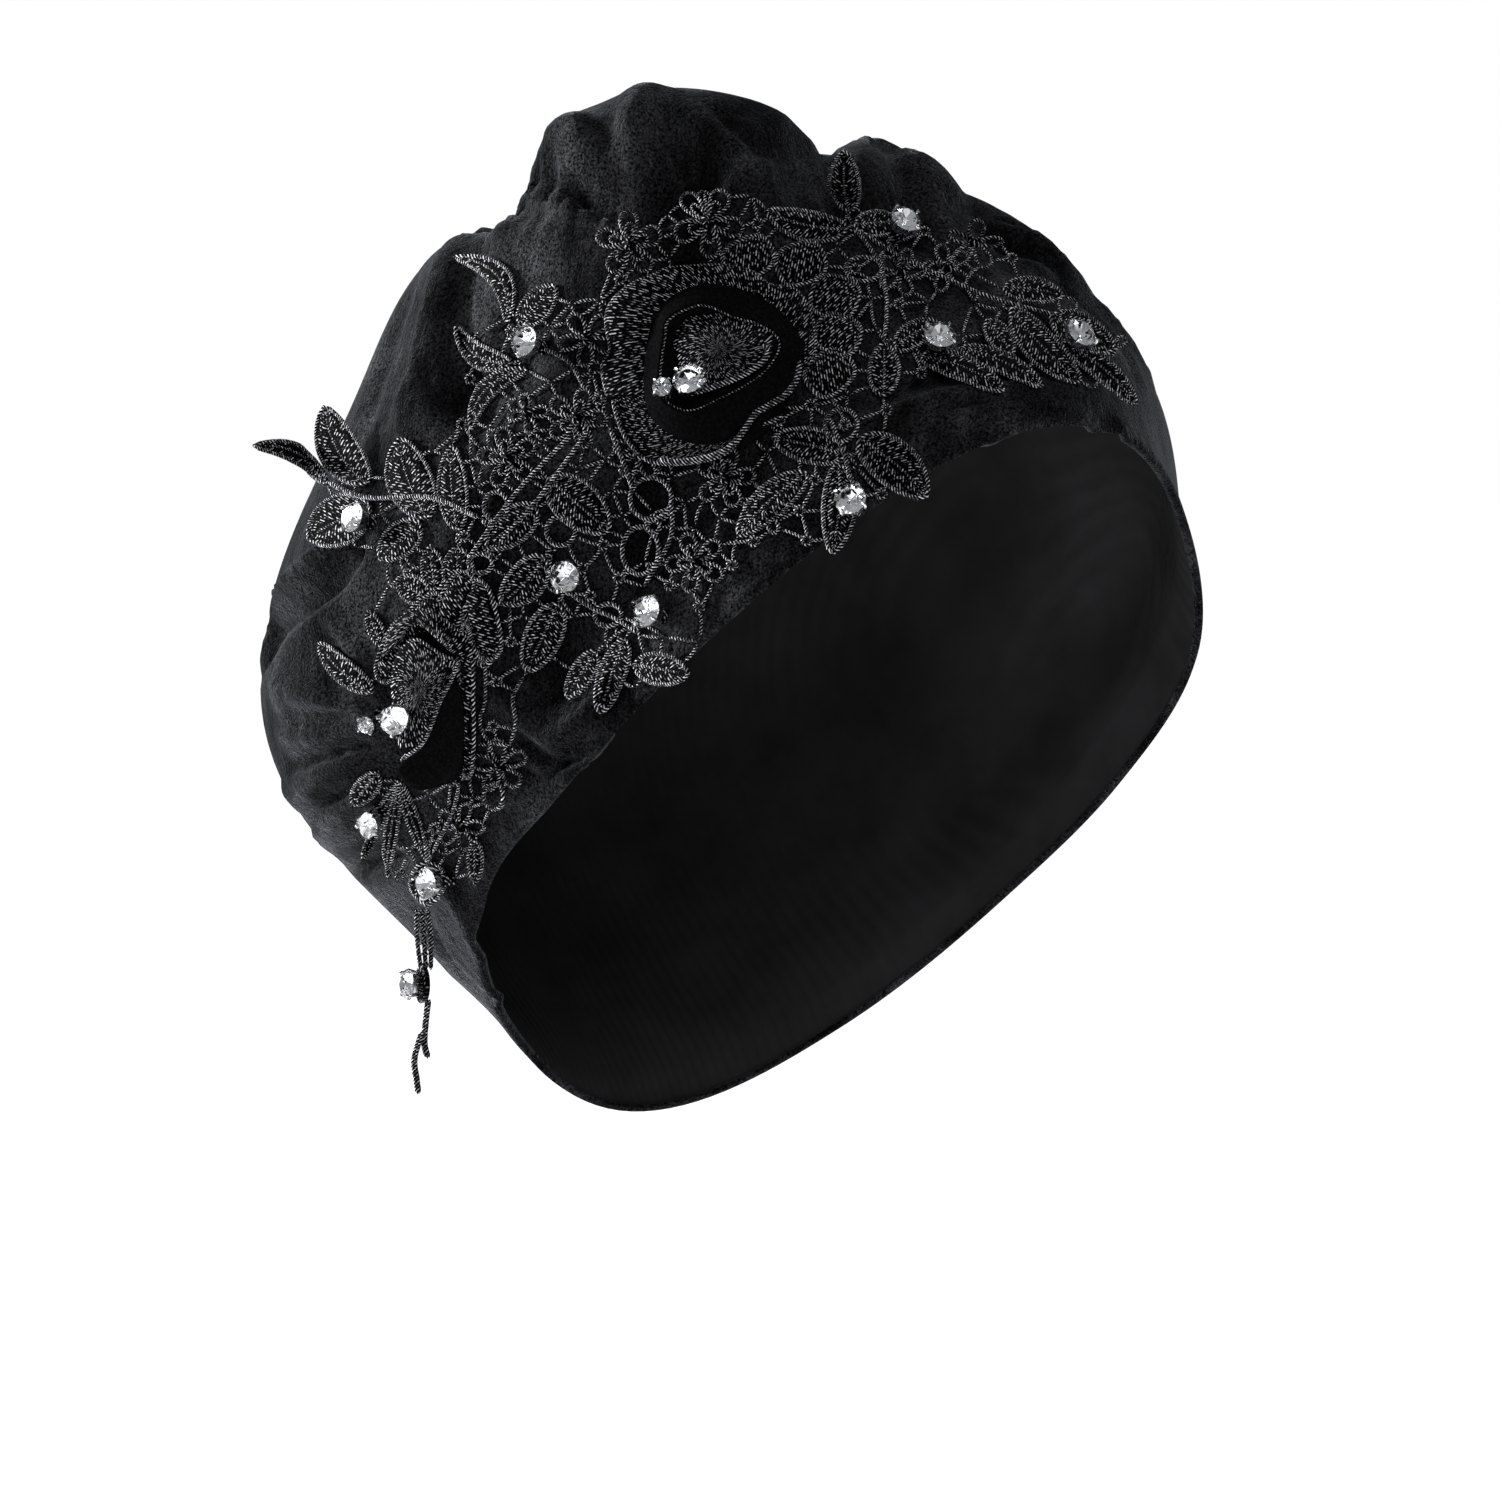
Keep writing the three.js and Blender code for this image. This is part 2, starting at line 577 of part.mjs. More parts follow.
const motifs = [
  ...LEAVES.map((leaf) => ({ solid: laceSolid(leafShape(leaf)), holds: leafHolds(leaf) })),
  ...FLOWERS.map((flower) => {
    const [a, b, radius] = flower;
    const middle = FLOWER_NOTCH * radius;
    return { solid: laceSolid(flowerShape(flower)), holds: roundHolds(a, b, middle, middle, 90, 5) };
  }),
  ...RINGS.map((ring) => {
    const [a, b, radius, band] = ring;
    const middle = radius - band / 2;
    return { solid: laceSolid(ringShape(ring)), holds: roundHolds(a, b, middle, middle, 0, 8) };
  }),
  ...SATIN_PETALS.map(([a, b, halfLength, halfWidth, turn]) => ({
    solid: laceSolid(ovalShape(a, b, halfLength, halfWidth, turn)),
    holds: roundHolds(a, b, 0.7 * halfLength, 0.7 * halfWidth, turn, 6),
  })),
  ...STONES.map(({ at: [a, b] }) => ({
    solid: laceSolid(polygonShape(a, b, () => SEAT_RADIUS, 8)),
    holds: [[a, b]],
  })),
];

function nearestHolds(one, other) {
  let best = { gap: Infinity };
  for (const from of one.holds) {
    for (const to of other.holds) {
      const gap = Math.hypot(from[0] - to[0], from[1] - to[1]);
      if (gap < best.gap) best = { gap, from, to };
    }
  }
  return best;
}

// Bars join every motif to its nearest joined neighbour, and any two that lie close.
function barSolids() {
  const links = [];
  const joinedMotifs = [motifs[0]];
  const waiting = motifs.slice(1);
  while (waiting.length > 0) {
    let best = { gap: Infinity };
    for (const one of joinedMotifs) {
      for (const other of waiting) {
        const link = nearestHolds(one, other);
        if (link.gap < best.gap) best = { ...link, other };
      }
    }
    links.push(best);
    joinedMotifs.push(best.other);
    waiting.splice(waiting.indexOf(best.other), 1);
  }
  for (let first = 0; first < motifs.length; first++) {
    for (let second = first + 1; second < motifs.length; second++) {
      const link = nearestHolds(motifs[first], motifs[second]);
      if (link.gap < BAR_REACH) links.push(link);
    }
  }
  const isNew = (link, index) => {
    return links.findIndex(({ from, to }) => from === link.from && to === link.to) === index;
  };
  return links
    .filter((link, index) => link.gap > BAR_LEAST && isNew(link, index))
    .map(({ from, to }) => laceSolid(barShape(from, to, BAR_WIDTH)));
}

const flatLace = joined([...motifs.map(({ solid }) => solid), ...barSolids()]);
const lace = flatLace.simplify(LACE_GRAIN).refineToLength(LACE_EDGE);
addNode("lace_applique", placed(lace, draped), thread);

// The roses stand on the lace in layers.
function roseGeometry(layers) {
  const solids = layers.map(({ at: [a, b], half, turn, from, to }) => {
    return flatSolid(ovalShape(a, b, half[0], half[1], turn), from, to, 10);
  });
  return placed(joined(solids).refineToLength(LACE_EDGE), draped);
}

addNode("rose_main", roseGeometry(MAIN_ROSE_LAYERS), thread);
addNode("rose_side", roseGeometry(SIDE_ROSE_LAYERS), thread);

// The tail hangs plumb, in front of the crown behind it.
const behindStrip = [0, 0.2, 0.4, 0.6, 0.8, 1].map((share) => {
  return drapeDistance(...mixed(TAIL_STRIP.from, TAIL_STRIP.to, share));
});
const tailReach = Math.min(...behindStrip) - TRIM_CLEARANCE - LACE_THICKNESS;
const tailPlaced = (a, b, height) => {
  return drapeDirection(a, b).multiplyScalar(tailReach - height).add(drapeFrom);
};
const padAxis = new THREE.Vector3(-Math.cos(TAIL_PAD.turn), 0, Math.sin(TAIL_PAD.turn));
const padCentre = new THREE.Vector3(...TAIL_PAD.at, LACE_THICKNESS / 2);

function tailSolid() {
  const pad = new THREE.CylinderGeometry(TAIL_PAD.radius, TAIL_PAD.radius, TAIL_PAD.thickness, 12);
  pad.applyQuaternion(new THREE.Quaternion().setFromUnitVectors(new THREE.Vector3(0, 1, 0), padAxis));
  pad.translate(padCentre.x, padCentre.y, padCentre.z);
  const strip = laceSolid(barShape(TAIL_STRIP.from, TAIL_STRIP.to, TAIL_STRIP.width));
  const twigs = TAIL_TWIGS.flatMap((points) => {
    return points.slice(1).map((to, index) => laceSolid(barShape(points[index], to, TWIG_WIDTH)));
  });
  return joined([strip, solidOf(pad), ...twigs]);
}

addNode("lace_tail", placed(tailSolid(), tailPlaced), thread);

// A stone's outline: its radius at an angle from the tip.
function cutRadius({ width, back, tip, sharp }, angle) {
  const length = Math.cos(angle) > 0 ? tip : back;
  const power = Math.cos(angle) > 0 ? sharp : Math.min(sharp + (back < tip ? 0.5 : 0), 2);
  const along = Math.abs(Math.cos(angle) / length) ** power;
  const across = Math.abs(Math.sin(angle) / width) ** power;
  return (along + across) ** (-1 / power);
}

// A cut stone: pavilion down to the culet, girdle, crown facets and a flat table.
function crystalGeometry(cut) {
  const [lowGirdle, highGirdle] = GIRDLE_HEIGHTS;
  const profile = [
    [0, CULET_HEIGHT], [1, lowGirdle], [1, highGirdle], [TABLE_SHARE, TABLE_HEIGHT], [0, TABLE_HEIGHT],
  ];
  const points = profile.map(([radius, height]) => new THREE.Vector2(radius, height));
  const geometry = new THREE.LatheGeometry(points, STONE_SIDES, Math.PI / STONE_SIDES).rotateX(Math.PI / 2);
  const position = geometry.attributes.position;
  for (let index = 0; index < position.count; index++) {
    const radius = cutRadius(cut, Math.atan2(position.getY(index), position.getX(index)));
    position.setX(index, position.getX(index) * radius);
    position.setY(index, position.getY(index) * radius);
  }
  return geometryOf(solidOf(geometry));
}

// A setting: a cup plate under the stone, and four claws around it that end over its girdle.
function settingGeometry(cut) {
  const outlineAt = (side) => cutRadius(cut, (2 * Math.PI * side) / STONE_SIDES);
  const plate = polygonShape(0, 0, outlineAt, STONE_SIDES);
  const cup = flatSolid(plate, 0, CUP_HEIGHT, 1);
  const claws = [cut.claw, 180 - cut.claw, 180 + cut.claw, 360 - cut.claw].map((degrees) => {
    const angle = degToRad(degrees);
    const outline = cutRadius(cut, angle);
    const foot = new THREE.Vector3(FOOT_SHARE * outline - CLAW.size / 2, 0, CLAW.foot);
    const head = new THREE.Vector3(outline + CLAW.gap + CLAW.size / 2, 0, CLAW.top);
    const claw = new THREE.BoxGeometry(CLAW.size, CLAW.size, foot.distanceTo(head));
    claw.applyQuaternion(new THREE.Quaternion().setFromUnitVectors(
      new THREE.Vector3(0, 0, 1), head.clone().sub(foot).normalize(),
    ));
    const middle = foot.lerp(head, 0.5);
    return solidOf(claw.translate(middle.x, middle.y, middle.z).rotateZ(angle));
  });
  return geometryOf(joined([cup, ...claws]));
}

// The stones' places: on the lace with their axis off the crown, and one on the tail's pad.
// The chart point whose draped point, at this height, shows at (a, b) from the draping point.
function chartPointShowing(a, b, height) {
  const point = [a, b];
  for (let step = 0; step < SHOWING_STEPS; step++) {
    const ray = draped(...point, height).sub(drapeFrom);
    const shown = ray.multiplyScalar(-CHART_DISTANCE / ray.dot(chartOut)).add(drapeFrom);
    point[0] += a - shown.dot(chartRight);
    point[1] += b - shown.dot(chartUp);
  }
  return point;
}

function stonePlaces() {
  const onLace = STONES.map(({ at, cut, turn, lift }) => {
    const height = LACE_THICKNESS + SEWING_GAP + lift;
    const [a, b] = chartPointShowing(...at, height + GIRDLE_HEIGHTS[0]);
    return { at: draped(a, b, height), axis: drapeNormal(a, b), cut, turn };
  });
  const padTop = padCentre.clone().addScaledVector(padAxis, TAIL_PAD.thickness / 2 + SEWING_GAP);
  const axis = tailPlaced(padCentre.x + padAxis.x, padCentre.y, padCentre.z + padAxis.z)
    .sub(tailPlaced(padCentre.x, padCentre.y, padCentre.z))
    .normalize();
  onLace.push({ at: tailPlaced(padTop.x, padTop.y, padTop.z), axis, cut: ROUND, turn: 0 });
  return onLace;
}

stonePlaces().forEach(({ at, axis, cut, turn }, index) => {
  const right = chartRight.clone().addScaledVector(axis, -chartRight.dot(axis)).normalize();
  const up = new THREE.Vector3().crossVectors(axis, right);
  const frame = new THREE.Matrix4().makeBasis(right, up, axis).setPosition(at);
  const number = String(index + 1).padStart(2, "0");
  const pieces = [
    addNode(`setting_${number}`, settingGeometry(cut), silver),
    addNode(`crystal_${number}`, crystalGeometry(cut), glass),
  ];
  for (const piece of pieces) {
    piece.applyMatrix4(frame);
    piece.rotateZ(degToRad(turn));
  }
});

export default cap;
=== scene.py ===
import math
import random

import bmesh
import bpy
import numpy as np
from mathutils import Matrix, Vector
from mathutils.bvhtree import BVHTree


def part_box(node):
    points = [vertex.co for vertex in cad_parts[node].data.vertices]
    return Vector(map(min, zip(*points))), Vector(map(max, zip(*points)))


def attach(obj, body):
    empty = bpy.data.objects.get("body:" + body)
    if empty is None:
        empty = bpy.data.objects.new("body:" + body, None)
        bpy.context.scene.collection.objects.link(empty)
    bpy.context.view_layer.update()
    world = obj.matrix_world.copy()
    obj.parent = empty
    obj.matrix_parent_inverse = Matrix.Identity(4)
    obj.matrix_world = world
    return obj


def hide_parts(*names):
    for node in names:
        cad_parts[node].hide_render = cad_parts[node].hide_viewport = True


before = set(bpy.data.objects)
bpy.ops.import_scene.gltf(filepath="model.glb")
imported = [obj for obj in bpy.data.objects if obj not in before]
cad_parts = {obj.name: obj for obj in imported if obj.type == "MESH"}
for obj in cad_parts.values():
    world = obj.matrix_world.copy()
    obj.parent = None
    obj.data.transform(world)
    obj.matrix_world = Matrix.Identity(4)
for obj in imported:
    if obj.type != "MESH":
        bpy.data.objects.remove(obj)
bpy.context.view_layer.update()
chance = random.Random(11)

MM = 0.001

# The wearer: an ellipsoid with its top at the origin, facing -Y.
WEARER_SEMI = np.array([80, 100, 130]) * MM
WEARER_CENTRE = np.array([0, 0, -130]) * MM

# The crown: a shell around a core point, on an axis tilted to the back.
CROWN_TILT = math.radians(46)
CROWN_CORE = np.array([0, 9, -120]) * MM
CLOTH = 2.0 * MM
AROUND_STEPS = 310
UP_STEPS = 150
FOLD_SCALE = 130 * MM
FOLD_STEPS = 14

# Rows for each 30 degrees around from the forehead by the right ear: the angle of the hem, and how far
# the cloth stands off the wearer at each of the loft angles above the rim plane.
LOFT_ANGLES = np.array([0, 12, 28, 44, 60, 76, 90.0])
SECTIONS = {
    "forehead": (-1, (6, 8, 14, 34, 40, 47, 48)),
    "right brow": (-4, (5, 7, 20, 52, 50, 52, 48)),
    "right temple": (-5, (5, 9, 30, 46, 64, 56, 48)),
    "right ear": (-2, (5, 14, 42, 56, 61, 55, 48)),
    "behind right ear": (4, (5, 21, 55, 65, 62, 53, 48)),
    "right nape": (2, (9, 23, 46, 64, 60, 52, 48)),
    "nape": (-4, (14, 23, 41, 56, 55, 50, 48)),
    "left nape": (-5, (12, 20, 34, 46, 51, 49, 48)),
    "behind left ear": (-6, (12, 19, 27, 40, 45, 48, 48)),
    "left ear": (-8, (14, 20, 22, 33, 40, 47, 48)),
    "left temple": (-8, (16, 24, 22, 30, 37, 46, 48)),
    "left brow": (-2, (10, 21, 27, 31, 35, 45, 48)),
}
RIMS = np.array([rim for rim, loft in SECTIONS.values()], float)
LOFTS = np.array([loft for rim, loft in SECTIONS.values()], float) * MM

# Folds by angles around and up: path, width, height in mm, roll from 0 soft to 1 round.
MAIN_FOLDS = [
    ("top puff", ((33, 44), (26, 41), (18, 37)), 66, 14, 0.3),
    ("crease under the puff", ((48, 60), (37, 41), (25, 37)), 18, -8, 0),
    ("front bump", ((5, 35), (356, 40), (356, 35)), 24, 8, 0.5),
    ("crease by the bump", ((2, 43), (7, 37), (14, 33)), 20, -9, 0),
    ("shoulder roll", ((356, 31), (346, 31), (343, 26)), 30, 6, 0.5),
    ("notch at the side", ((119, 41), (102, 37), (91, 37)), 20, -7, 0),
    ("notch by the nape", ((136, 22), (131, 19), (126, 16)), 14, -4, 0),
    ("roll over the brow", ((24, 5), (8, 4), (352, 4)), 20, 3, 0),
    ("swell at the side", ((58, 54), (64, 48), (73, 41)), 30, 3, 0),
    ("hollow beside the swell", ((42, 42), (48, 40), (58, 37)), 30, -3, 0),
    ("upper gather", ((104, 22), (107, 26), (112, 31)), 16, 3, 0),
    ("lower gather", ((111, 20), (117, 22), (126, 26)), 16, 3, 0),
    ("wave over the temple", ((88, 12), (83, 5), (74, 2)), 20, 3, 0),
]

# The chart: the plane that faces the right brow, where the trim and the small folds are read,
# in mm right and up of the origin.
CHART_YAW = math.radians(40)
CHART_PITCH = math.radians(3)
CHART_MIDDLE = (-25, -116.75)
CHART_DISTANCE = 1.5
CHART_RIGHT = np.array([math.cos(CHART_YAW), -math.sin(CHART_YAW), 0])
CHART_OUT = np.array([
    -math.sin(CHART_YAW) * math.cos(CHART_PITCH),
    -math.cos(CHART_YAW) * math.cos(CHART_PITCH),
    math.sin(CHART_PITCH),
])
CHART_UP = np.cross(CHART_OUT, CHART_RIGHT)
AIM = (CHART_RIGHT * CHART_MIDDLE[0] + CHART_UP * CHART_MIDDLE[1]) * MM
EYE = AIM + CHART_OUT * CHART_DISTANCE

AXIS = np.array([0, math.sin(CROWN_TILT), math.cos(CROWN_TILT)])
FRONT = np.array([0, -math.cos(CROWN_TILT), math.sin(CROWN_TILT)])
SIDE = np.array([-1.0, 0, 0])


def heading(around, up):
    """Unit directions from the core at angles in degrees."""
    around, up = np.radians(around), np.radians(up)
    flat = np.cos(around)[..., None] * FRONT + np.sin(around)[..., None] * SIDE
    return np.cos(up)[..., None] * flat + np.sin(up)[..., None] * AXIS


def angles_of(points):
    """Angles around and up, in degrees, and the distance from the core."""
    offset = points - CROWN_CORE
    distance = np.linalg.norm(offset, axis=-1)
    around = np.degrees(np.arctan2(offset @ SIDE, offset @ FRONT)) % 360
    up = np.degrees(np.arcsin(np.clip((offset @ AXIS) / distance, -1, 1)))
    return around, up, distance


def wearer_radius(directions):
    start = (CROWN_CORE - WEARER_CENTRE) / WEARER_SEMI
    along = directions / WEARER_SEMI
    a = (along * along).sum(-1)
    b = along @ start
    return (-b + np.sqrt(b * b - a * (start @ start - 1))) / a


def smoothed(values, t):
    """A smooth curve through four values, at t from the second to the third."""
    v0, v1, v2, v3 = values
    bend = 2 * v0 - 5 * v1 + 4 * v2 - v3
    twist = -v0 + 3 * v1 - 3 * v2 + v3
    return 0.5 * (2 * v1 + (v2 - v0) * t + bend * t ** 2 + twist * t ** 3)


def around_sections(around, column):
    count = len(column)
    place = (around % 360) / (360 / count)
    first = np.floor(place).astype(int)
    return smoothed([column[(first + step) % count] for step in (-1, 0, 1, 2)], place - first)


def loft_at(around, up):
    last = len(LOFT_ANGLES) - 1
    first = np.clip(np.searchsorted(LOFT_ANGLES, up, side="right") - 1, 0, last - 1)
    t = np.clip((up - LOFT_ANGLES[first]) / (LOFT_ANGLES[first + 1] - LOFT_ANGLES[first]), 0, 1)
    columns = np.stack([around_sections(around, LOFTS[:, k]) for k in range(last + 1)])
    picked = [np.clip(first + step, 0, last) for step in (-1, 0, 1, 2)]
    return smoothed([np.take_along_axis(columns, row[None], 0)[0] for row in picked], t)


def fold_field(directions, path, width, height, roll, lean=0.0, taper=0.0):
    """Height of one fold over the directions. path: three directions. lean: above 0 the fold is steeper
    on its left side. taper: how much the fold fades towards its ends."""
    start, middle, end = path
    nearest = np.full(directions.shape[:-1], 9.0)
    signed = np.zeros(directions.shape[:-1])
    where = np.zeros(directions.shape[:-1])
    for step in range(FOLD_STEPS + 1):
        t = step / FOLD_STEPS
        point = start * (1 - t) * (1 - 2 * t) + middle * 4 * t * (1 - t) + end * t * (2 * t - 1)
        point /= np.linalg.norm(point)
        tangent = start * (4 * t - 3) + middle * (4 - 8 * t) + end * (4 * t - 1)
        side = np.cross(point, tangent)
        side /= np.linalg.norm(side)
        apart = np.linalg.norm(directions - point, axis=-1)
        closer = apart < nearest
        nearest = np.where(closer, apart, nearest)
        signed = np.where(closer, directions @ side, signed)
        where = np.where(closer, t, where)
    reach = width * MM / 2 * (1 + lean * np.sign(signed))
    share = np.clip(nearest * FOLD_SCALE / reach, 0, 1)
    swell = (1 - share ** 2) ** 2
    round_top = np.sqrt(1 - share ** 2)
    ends = 1 - taper * (2 * where - 1) ** 2
    return height * MM * ends * ((1 - roll) * swell + roll * round_top)


def main_radius(around, up):
    directions = heading(around, up)
    radius = wearer_radius(directions) + loft_at(around, up)
    for name, path, width, height, roll in MAIN_FOLDS:
        path = [heading(np.array(float(a)), np.array(float(u))) for a, u in path]
        radius = radius + fold_field(directions, path, width, height, roll)
    return radius


def chart_ray(a, b):
    """Directions from the eye through chart points."""
    points = (np.asarray(a)[..., None] * CHART_RIGHT + np.asarray(b)[..., None] * CHART_UP) * MM
    rays = points - EYE
    return rays / np.linalg.norm(rays, axis=-1)[..., None]


def on_crown(a, b):
    """The direction from the core of the crown's point that shows at a chart point."""
    ray = chart_ray(float(a), float(b))
    middle = (CROWN_CORE - EYE) @ ray
    points = EYE + ray * np.linspace(middle - 0.2, middle + 0.1, 301)[:, None]
    around, up, distance = angles_of(points)
    depth = main_radius(around, np.clip(up, -20, 90)) - distance
    first = np.argmax(depth > 0) if (depth > 0).any() else np.argmax(depth)
    offset = points[first] - CROWN_CORE
    return offset / np.linalg.norm(offset)


# Small folds read on the chart: path of three points, width and height in mm, roll, lean, taper.
CHART_FOLDS = [
    ("edge of the front panel", (-90, 13.5), (-65, 16), (-38, 18), 6, 2.4, 0.5, 0, 0.5),
    ("fold over the panel", (-89, 17), (-64, 20.5), (-36, 22), 8, -5, 0, 0, 0.4),
    ("pocket", (-67, 24), (-51, 25), (-33, 25.5), 9, -5, 0, 0, 0.5),
    ("pocket lip", (-64, 28), (-50, 29.5), (-37, 31), 6, 3, 0.5, 0, 0.6),
    ("fan ridge", (-88, 17), (-80, 22), (-73, 26), 5, 2.4, 0.5, 0, 0.6),
    ("fan ridge", (-86, 16.5), (-75, 19), (-64, 20), 4.5, 2.4, 0.5, 0, 0.6),
    ("fan hollow", (-84, 19), (-77, 21.5), (-70, 22), 4.5, -2, 0, 0, 0.6),
    ("arc of the puff", (-72, 23), (-70, 31), (-62, 30.5), 6, 3, 0.5, 0, 0.4),
    ("hollow in the arc", (-68, 24), (-66, 27.5), (-62, 27), 5, -2.5, 0, 0, 0.4),
    ("left rim of the puff", (-76, 26), (-74, 34), (-67, 41), 10, 2.4, 0.3, 0.3, 0.6),
    ("left hollow of the puff", (-64, 45), (-62, 38), (-60, 32), 11, -3.5, 0, 0, 0.5),
    ("middle ridge of the puff", (-51, 48), (-53, 40), (-54, 31), 10, 3.4, 0.3, 0, 0.4),
    ("right hollow of the puff", (-46, 44), (-44, 40), (-40, 38), 9, -3, 0, 0, 0.5),
    ("eye of the puff", (-48, 35), (-45, 33.5), (-42, 33), 8, -6, 0, 0, 0.3),
    ("cheek of the puff", (-41, 41), (-36, 37), (-30, 33), 8, 3.2, 0.4, 0, 0.5),
    ("crease of the cheek", (-35, 44), (-29, 38), (-24, 33), 5, -3.2, 0, 0, 0.5),
    ("right ridge of the puff", (-26, 34), (-18, 35.5), (-11, 38), 8, 2.8, 0.4, 0, 0.5),
    ("right crease of the puff", (-24, 30), (-16, 31.5), (-9, 33), 5, -3, 0, 0, 0.4),
    ("pleat to the knot", (-31, 25), (-20, 28), (-9, 30), 4.4, 2, 0.5, 0, 0.5),
    ("pleat to the knot", (-29, 22), (-18, 24.5), (-7, 27), 4.4, 2, 0.5, 0, 0.5),
    ("pleat to the knot", (-27, 19.5), (-16, 21.5), (-5, 24), 4.4, 2, 0.5, 0, 0.5),
    ("crease at the knot", (-8, 34), (-4, 27), (-4, 17), 8, -5, 0, 0, 0.4),
    ("crease over the bump", (2, 37), (9, 34), (14, 27), 5, -1.8, 0, 0, 0.5),
    ("shoulder pleat", (18, 25), (27, 19), (38, 18), 5, -2.6, 0, 0.2, 0.5),
    ("shoulder pleat", (30, 17), (40, 14), (48, 11), 5, -2.6, 0, 0.2, 0.5),
    ("shoulder pleat", (33, 12), (44, 8), (54, 2), 6, -3, 0, 0.2, 0.4),
    ("shoulder ridge", (32, 14.5), (43, 11), (52, 6), 6, 2.4, 0.4, 0.2, 0.5),
    ("band pleat", (52, 0), (63, -10), (71, -22), 7, -3, 0, 0.2, 0.3),
    ("band ridge", (55, 3), (66, -7), (75, -20), 8, 2.4, 0.4, 0.2, 0.4),
    ("band pleat", (63, -37), (76, -58), (86, -78), 7, -2.6, 0, 0.2, 0.3),
    ("band ridge", (67, -36), (79, -57), (87, -76), 7, 2.4, 0.4, 0.2, 0.3),
    ("brow roll", (12, -42), (34, -34), (58, -33), 11, 3, 0.4, 0.3, 0.6),
    ("brow pleat", (22, -33), (38, -29), (58, -30), 6, -2.4, 0, 0, 0.5),
    ("brow pleat", (10, -38), (26, -38), (40, -37), 5, -2, 0, 0, 0.5),
    ("brow ridge", (14, -31), (30, -27), (48, -28), 6, 1.8, 0.4, 0, 0.5),
    ("turn of the panel", (-89, 12), (-92, 0), (-94, -14), 9, 3, 0.2, 0.6, 0.4),
    ("shade of the panel", (-84, 11), (-76, 6), (-66, 10), 16, -3.2, 0, 0, 0.4),
    ("long ridge", (-98, 9), (-104, -10), (-111, -34), 18, 4, 0.2, 0.3, 0.5),
    ("foot of the long ridge", (-111, -30), (-104, -34), (-99, -38), 10, 2.4, 0.3, 0, 0.5),
    ("long hollow", (-91, 5), (-95, -14), (-93, -34), 15, -3.5, 0, 0, 0.5),
    ("flank hollow", (-110, -2), (-117, -20), (-122, -40), 12, -2.6, 0, 0, 0.5),
    ("side crease", (-126, -66), (-134, -76), (-144, -86), 9, -5.5, 0, 0.3, 0.3),
    ("side lip", (-124, -64), (-133, -70), (-143, -79), 8, 3, 0.4, 0.3, 0.4),
    ("side ridge", (-122, -76), (-132, -84), (-146, -92), 12, 2.6, 0.3, 0, 0.5),
    ("gather", (-118, -109), (-128, -105), (-140, -101), 7, 3, 0.3, 0.2, 0.6),
    ("gather", (-118, -112), (-130, -113), (-142, -113), 6, 3.2, 0.3, 0.2, 0.6),
    ("gather", (-117, -117), (-128, -121), (-138, -126), 7, 3, 0.3, 0.2, 0.6),
    ("gather", (-118, -124), (-126, -132), (-134, -140), 7, 2.8, 0.3, 0.2, 0.6),
    ("gather", (-116, -104), (-122, -94), (-128, -84), 7, 2.6, 0.3, 0.2, 0.6),
    ("gather hollow", (-119, -107), (-130, -108), (-141, -107), 5, -3, 0, 0, 0.6),
    ("gather hollow", (-119, -115), (-129, -118), (-140, -120), 5, -3, 0, 0, 0.6),
    ("gather hollow", (-118, -121), (-127, -127), (-136, -133), 5, -2.6, 0, 0, 0.6),
    ("nape step", (-126, -147), (-119, -145), (-113, -142), 7, -3.5, 0, 0.3, 0.3),
    ("temple wave", (-84, -107), (-73, -115), (-61, -106), 10, 3.2, 0.3, 0.3, 0.5),
    ("temple wave", (-92, -126), (-84, -129), (-75, -121), 9, 3, 0.3, 0.3, 0.5),
    ("temple hollow", (-82, -113), (-72, -120), (-62, -113), 7, -2.6, 0, 0, 0.5),
    ("temple hollow", (-84, -120), (-76, -123), (-70, -116), 6, -2, 0, 0, 0.5),
    ("back swell", (-100, -150), (-92, -168), (-86, -186), 12, 2.6, 0.2, 0.3, 0.6),
    ("back hollow", (-106, -154), (-98, -172), (-92, -190), 9, -2.6, 0, 0, 0.6),
]


def crown_radius(around, up):
    directions = heading(around, up)
    radius = main_radius(around, up)
    for name, start, middle, end, width, height, roll, lean, taper in CHART_FOLDS:
        path = [on_crown(*start), on_crown(*middle), on_crown(*end)]
        radius = radius + fold_field(directions, path, width, height, roll, lean, taper)
    return radius


# Making pieces.
def new_piece(name, bm, *materials):
    mesh = bpy.data.meshes.new(name)
    bm.to_mesh(mesh)
    bm.free()
    for polygon in mesh.polygons:
        polygon.use_smooth = True
    for material in materials:
        mesh.materials.append(material)
    piece = bpy.data.objects.new(name, mesh)
    bpy.context.scene.collection.objects.link(piece)
    return piece


def woven_grid(bm, across, along, place, length=1.0, width=1.0, mirrored=False):
    """A grid of faces, with each vertex moved to place(u, v), u and v from 0 to 1. Its UV map holds
    u times the length and v times the width, or the distance from the middle if mirrored."""
    layer = bm.loops.layers.uv.verify()
    made = bmesh.ops.create_grid(bm, x_segments=along, y_segments=across, size=0.5)
    verts = made["verts"]
    flat = np.array([vert.co[:2] for vert in verts]) + 0.5
    positions = place(flat[:, 0], flat[:, 1])
    maps = {}
    for vert, point, spot in zip(verts, positions, flat):
        vert.co = point
        maps[vert] = (spot[0] * length, (abs(spot[1] - 0.5) if mirrored else spot[1]) * width)
    for face in {face for vert in verts for face in vert.link_faces}:
        for loop in face.loops:
            loop[layer].uv = maps[loop.vert]
    return verts


# Materials.
def new_material(name):
    material = bpy.data.materials.new(name)
    material.use_nodes = True
    nodes = material.node_tree.nodes
    return material, nodes, material.node_tree.links, nodes["Principled BSDF"]


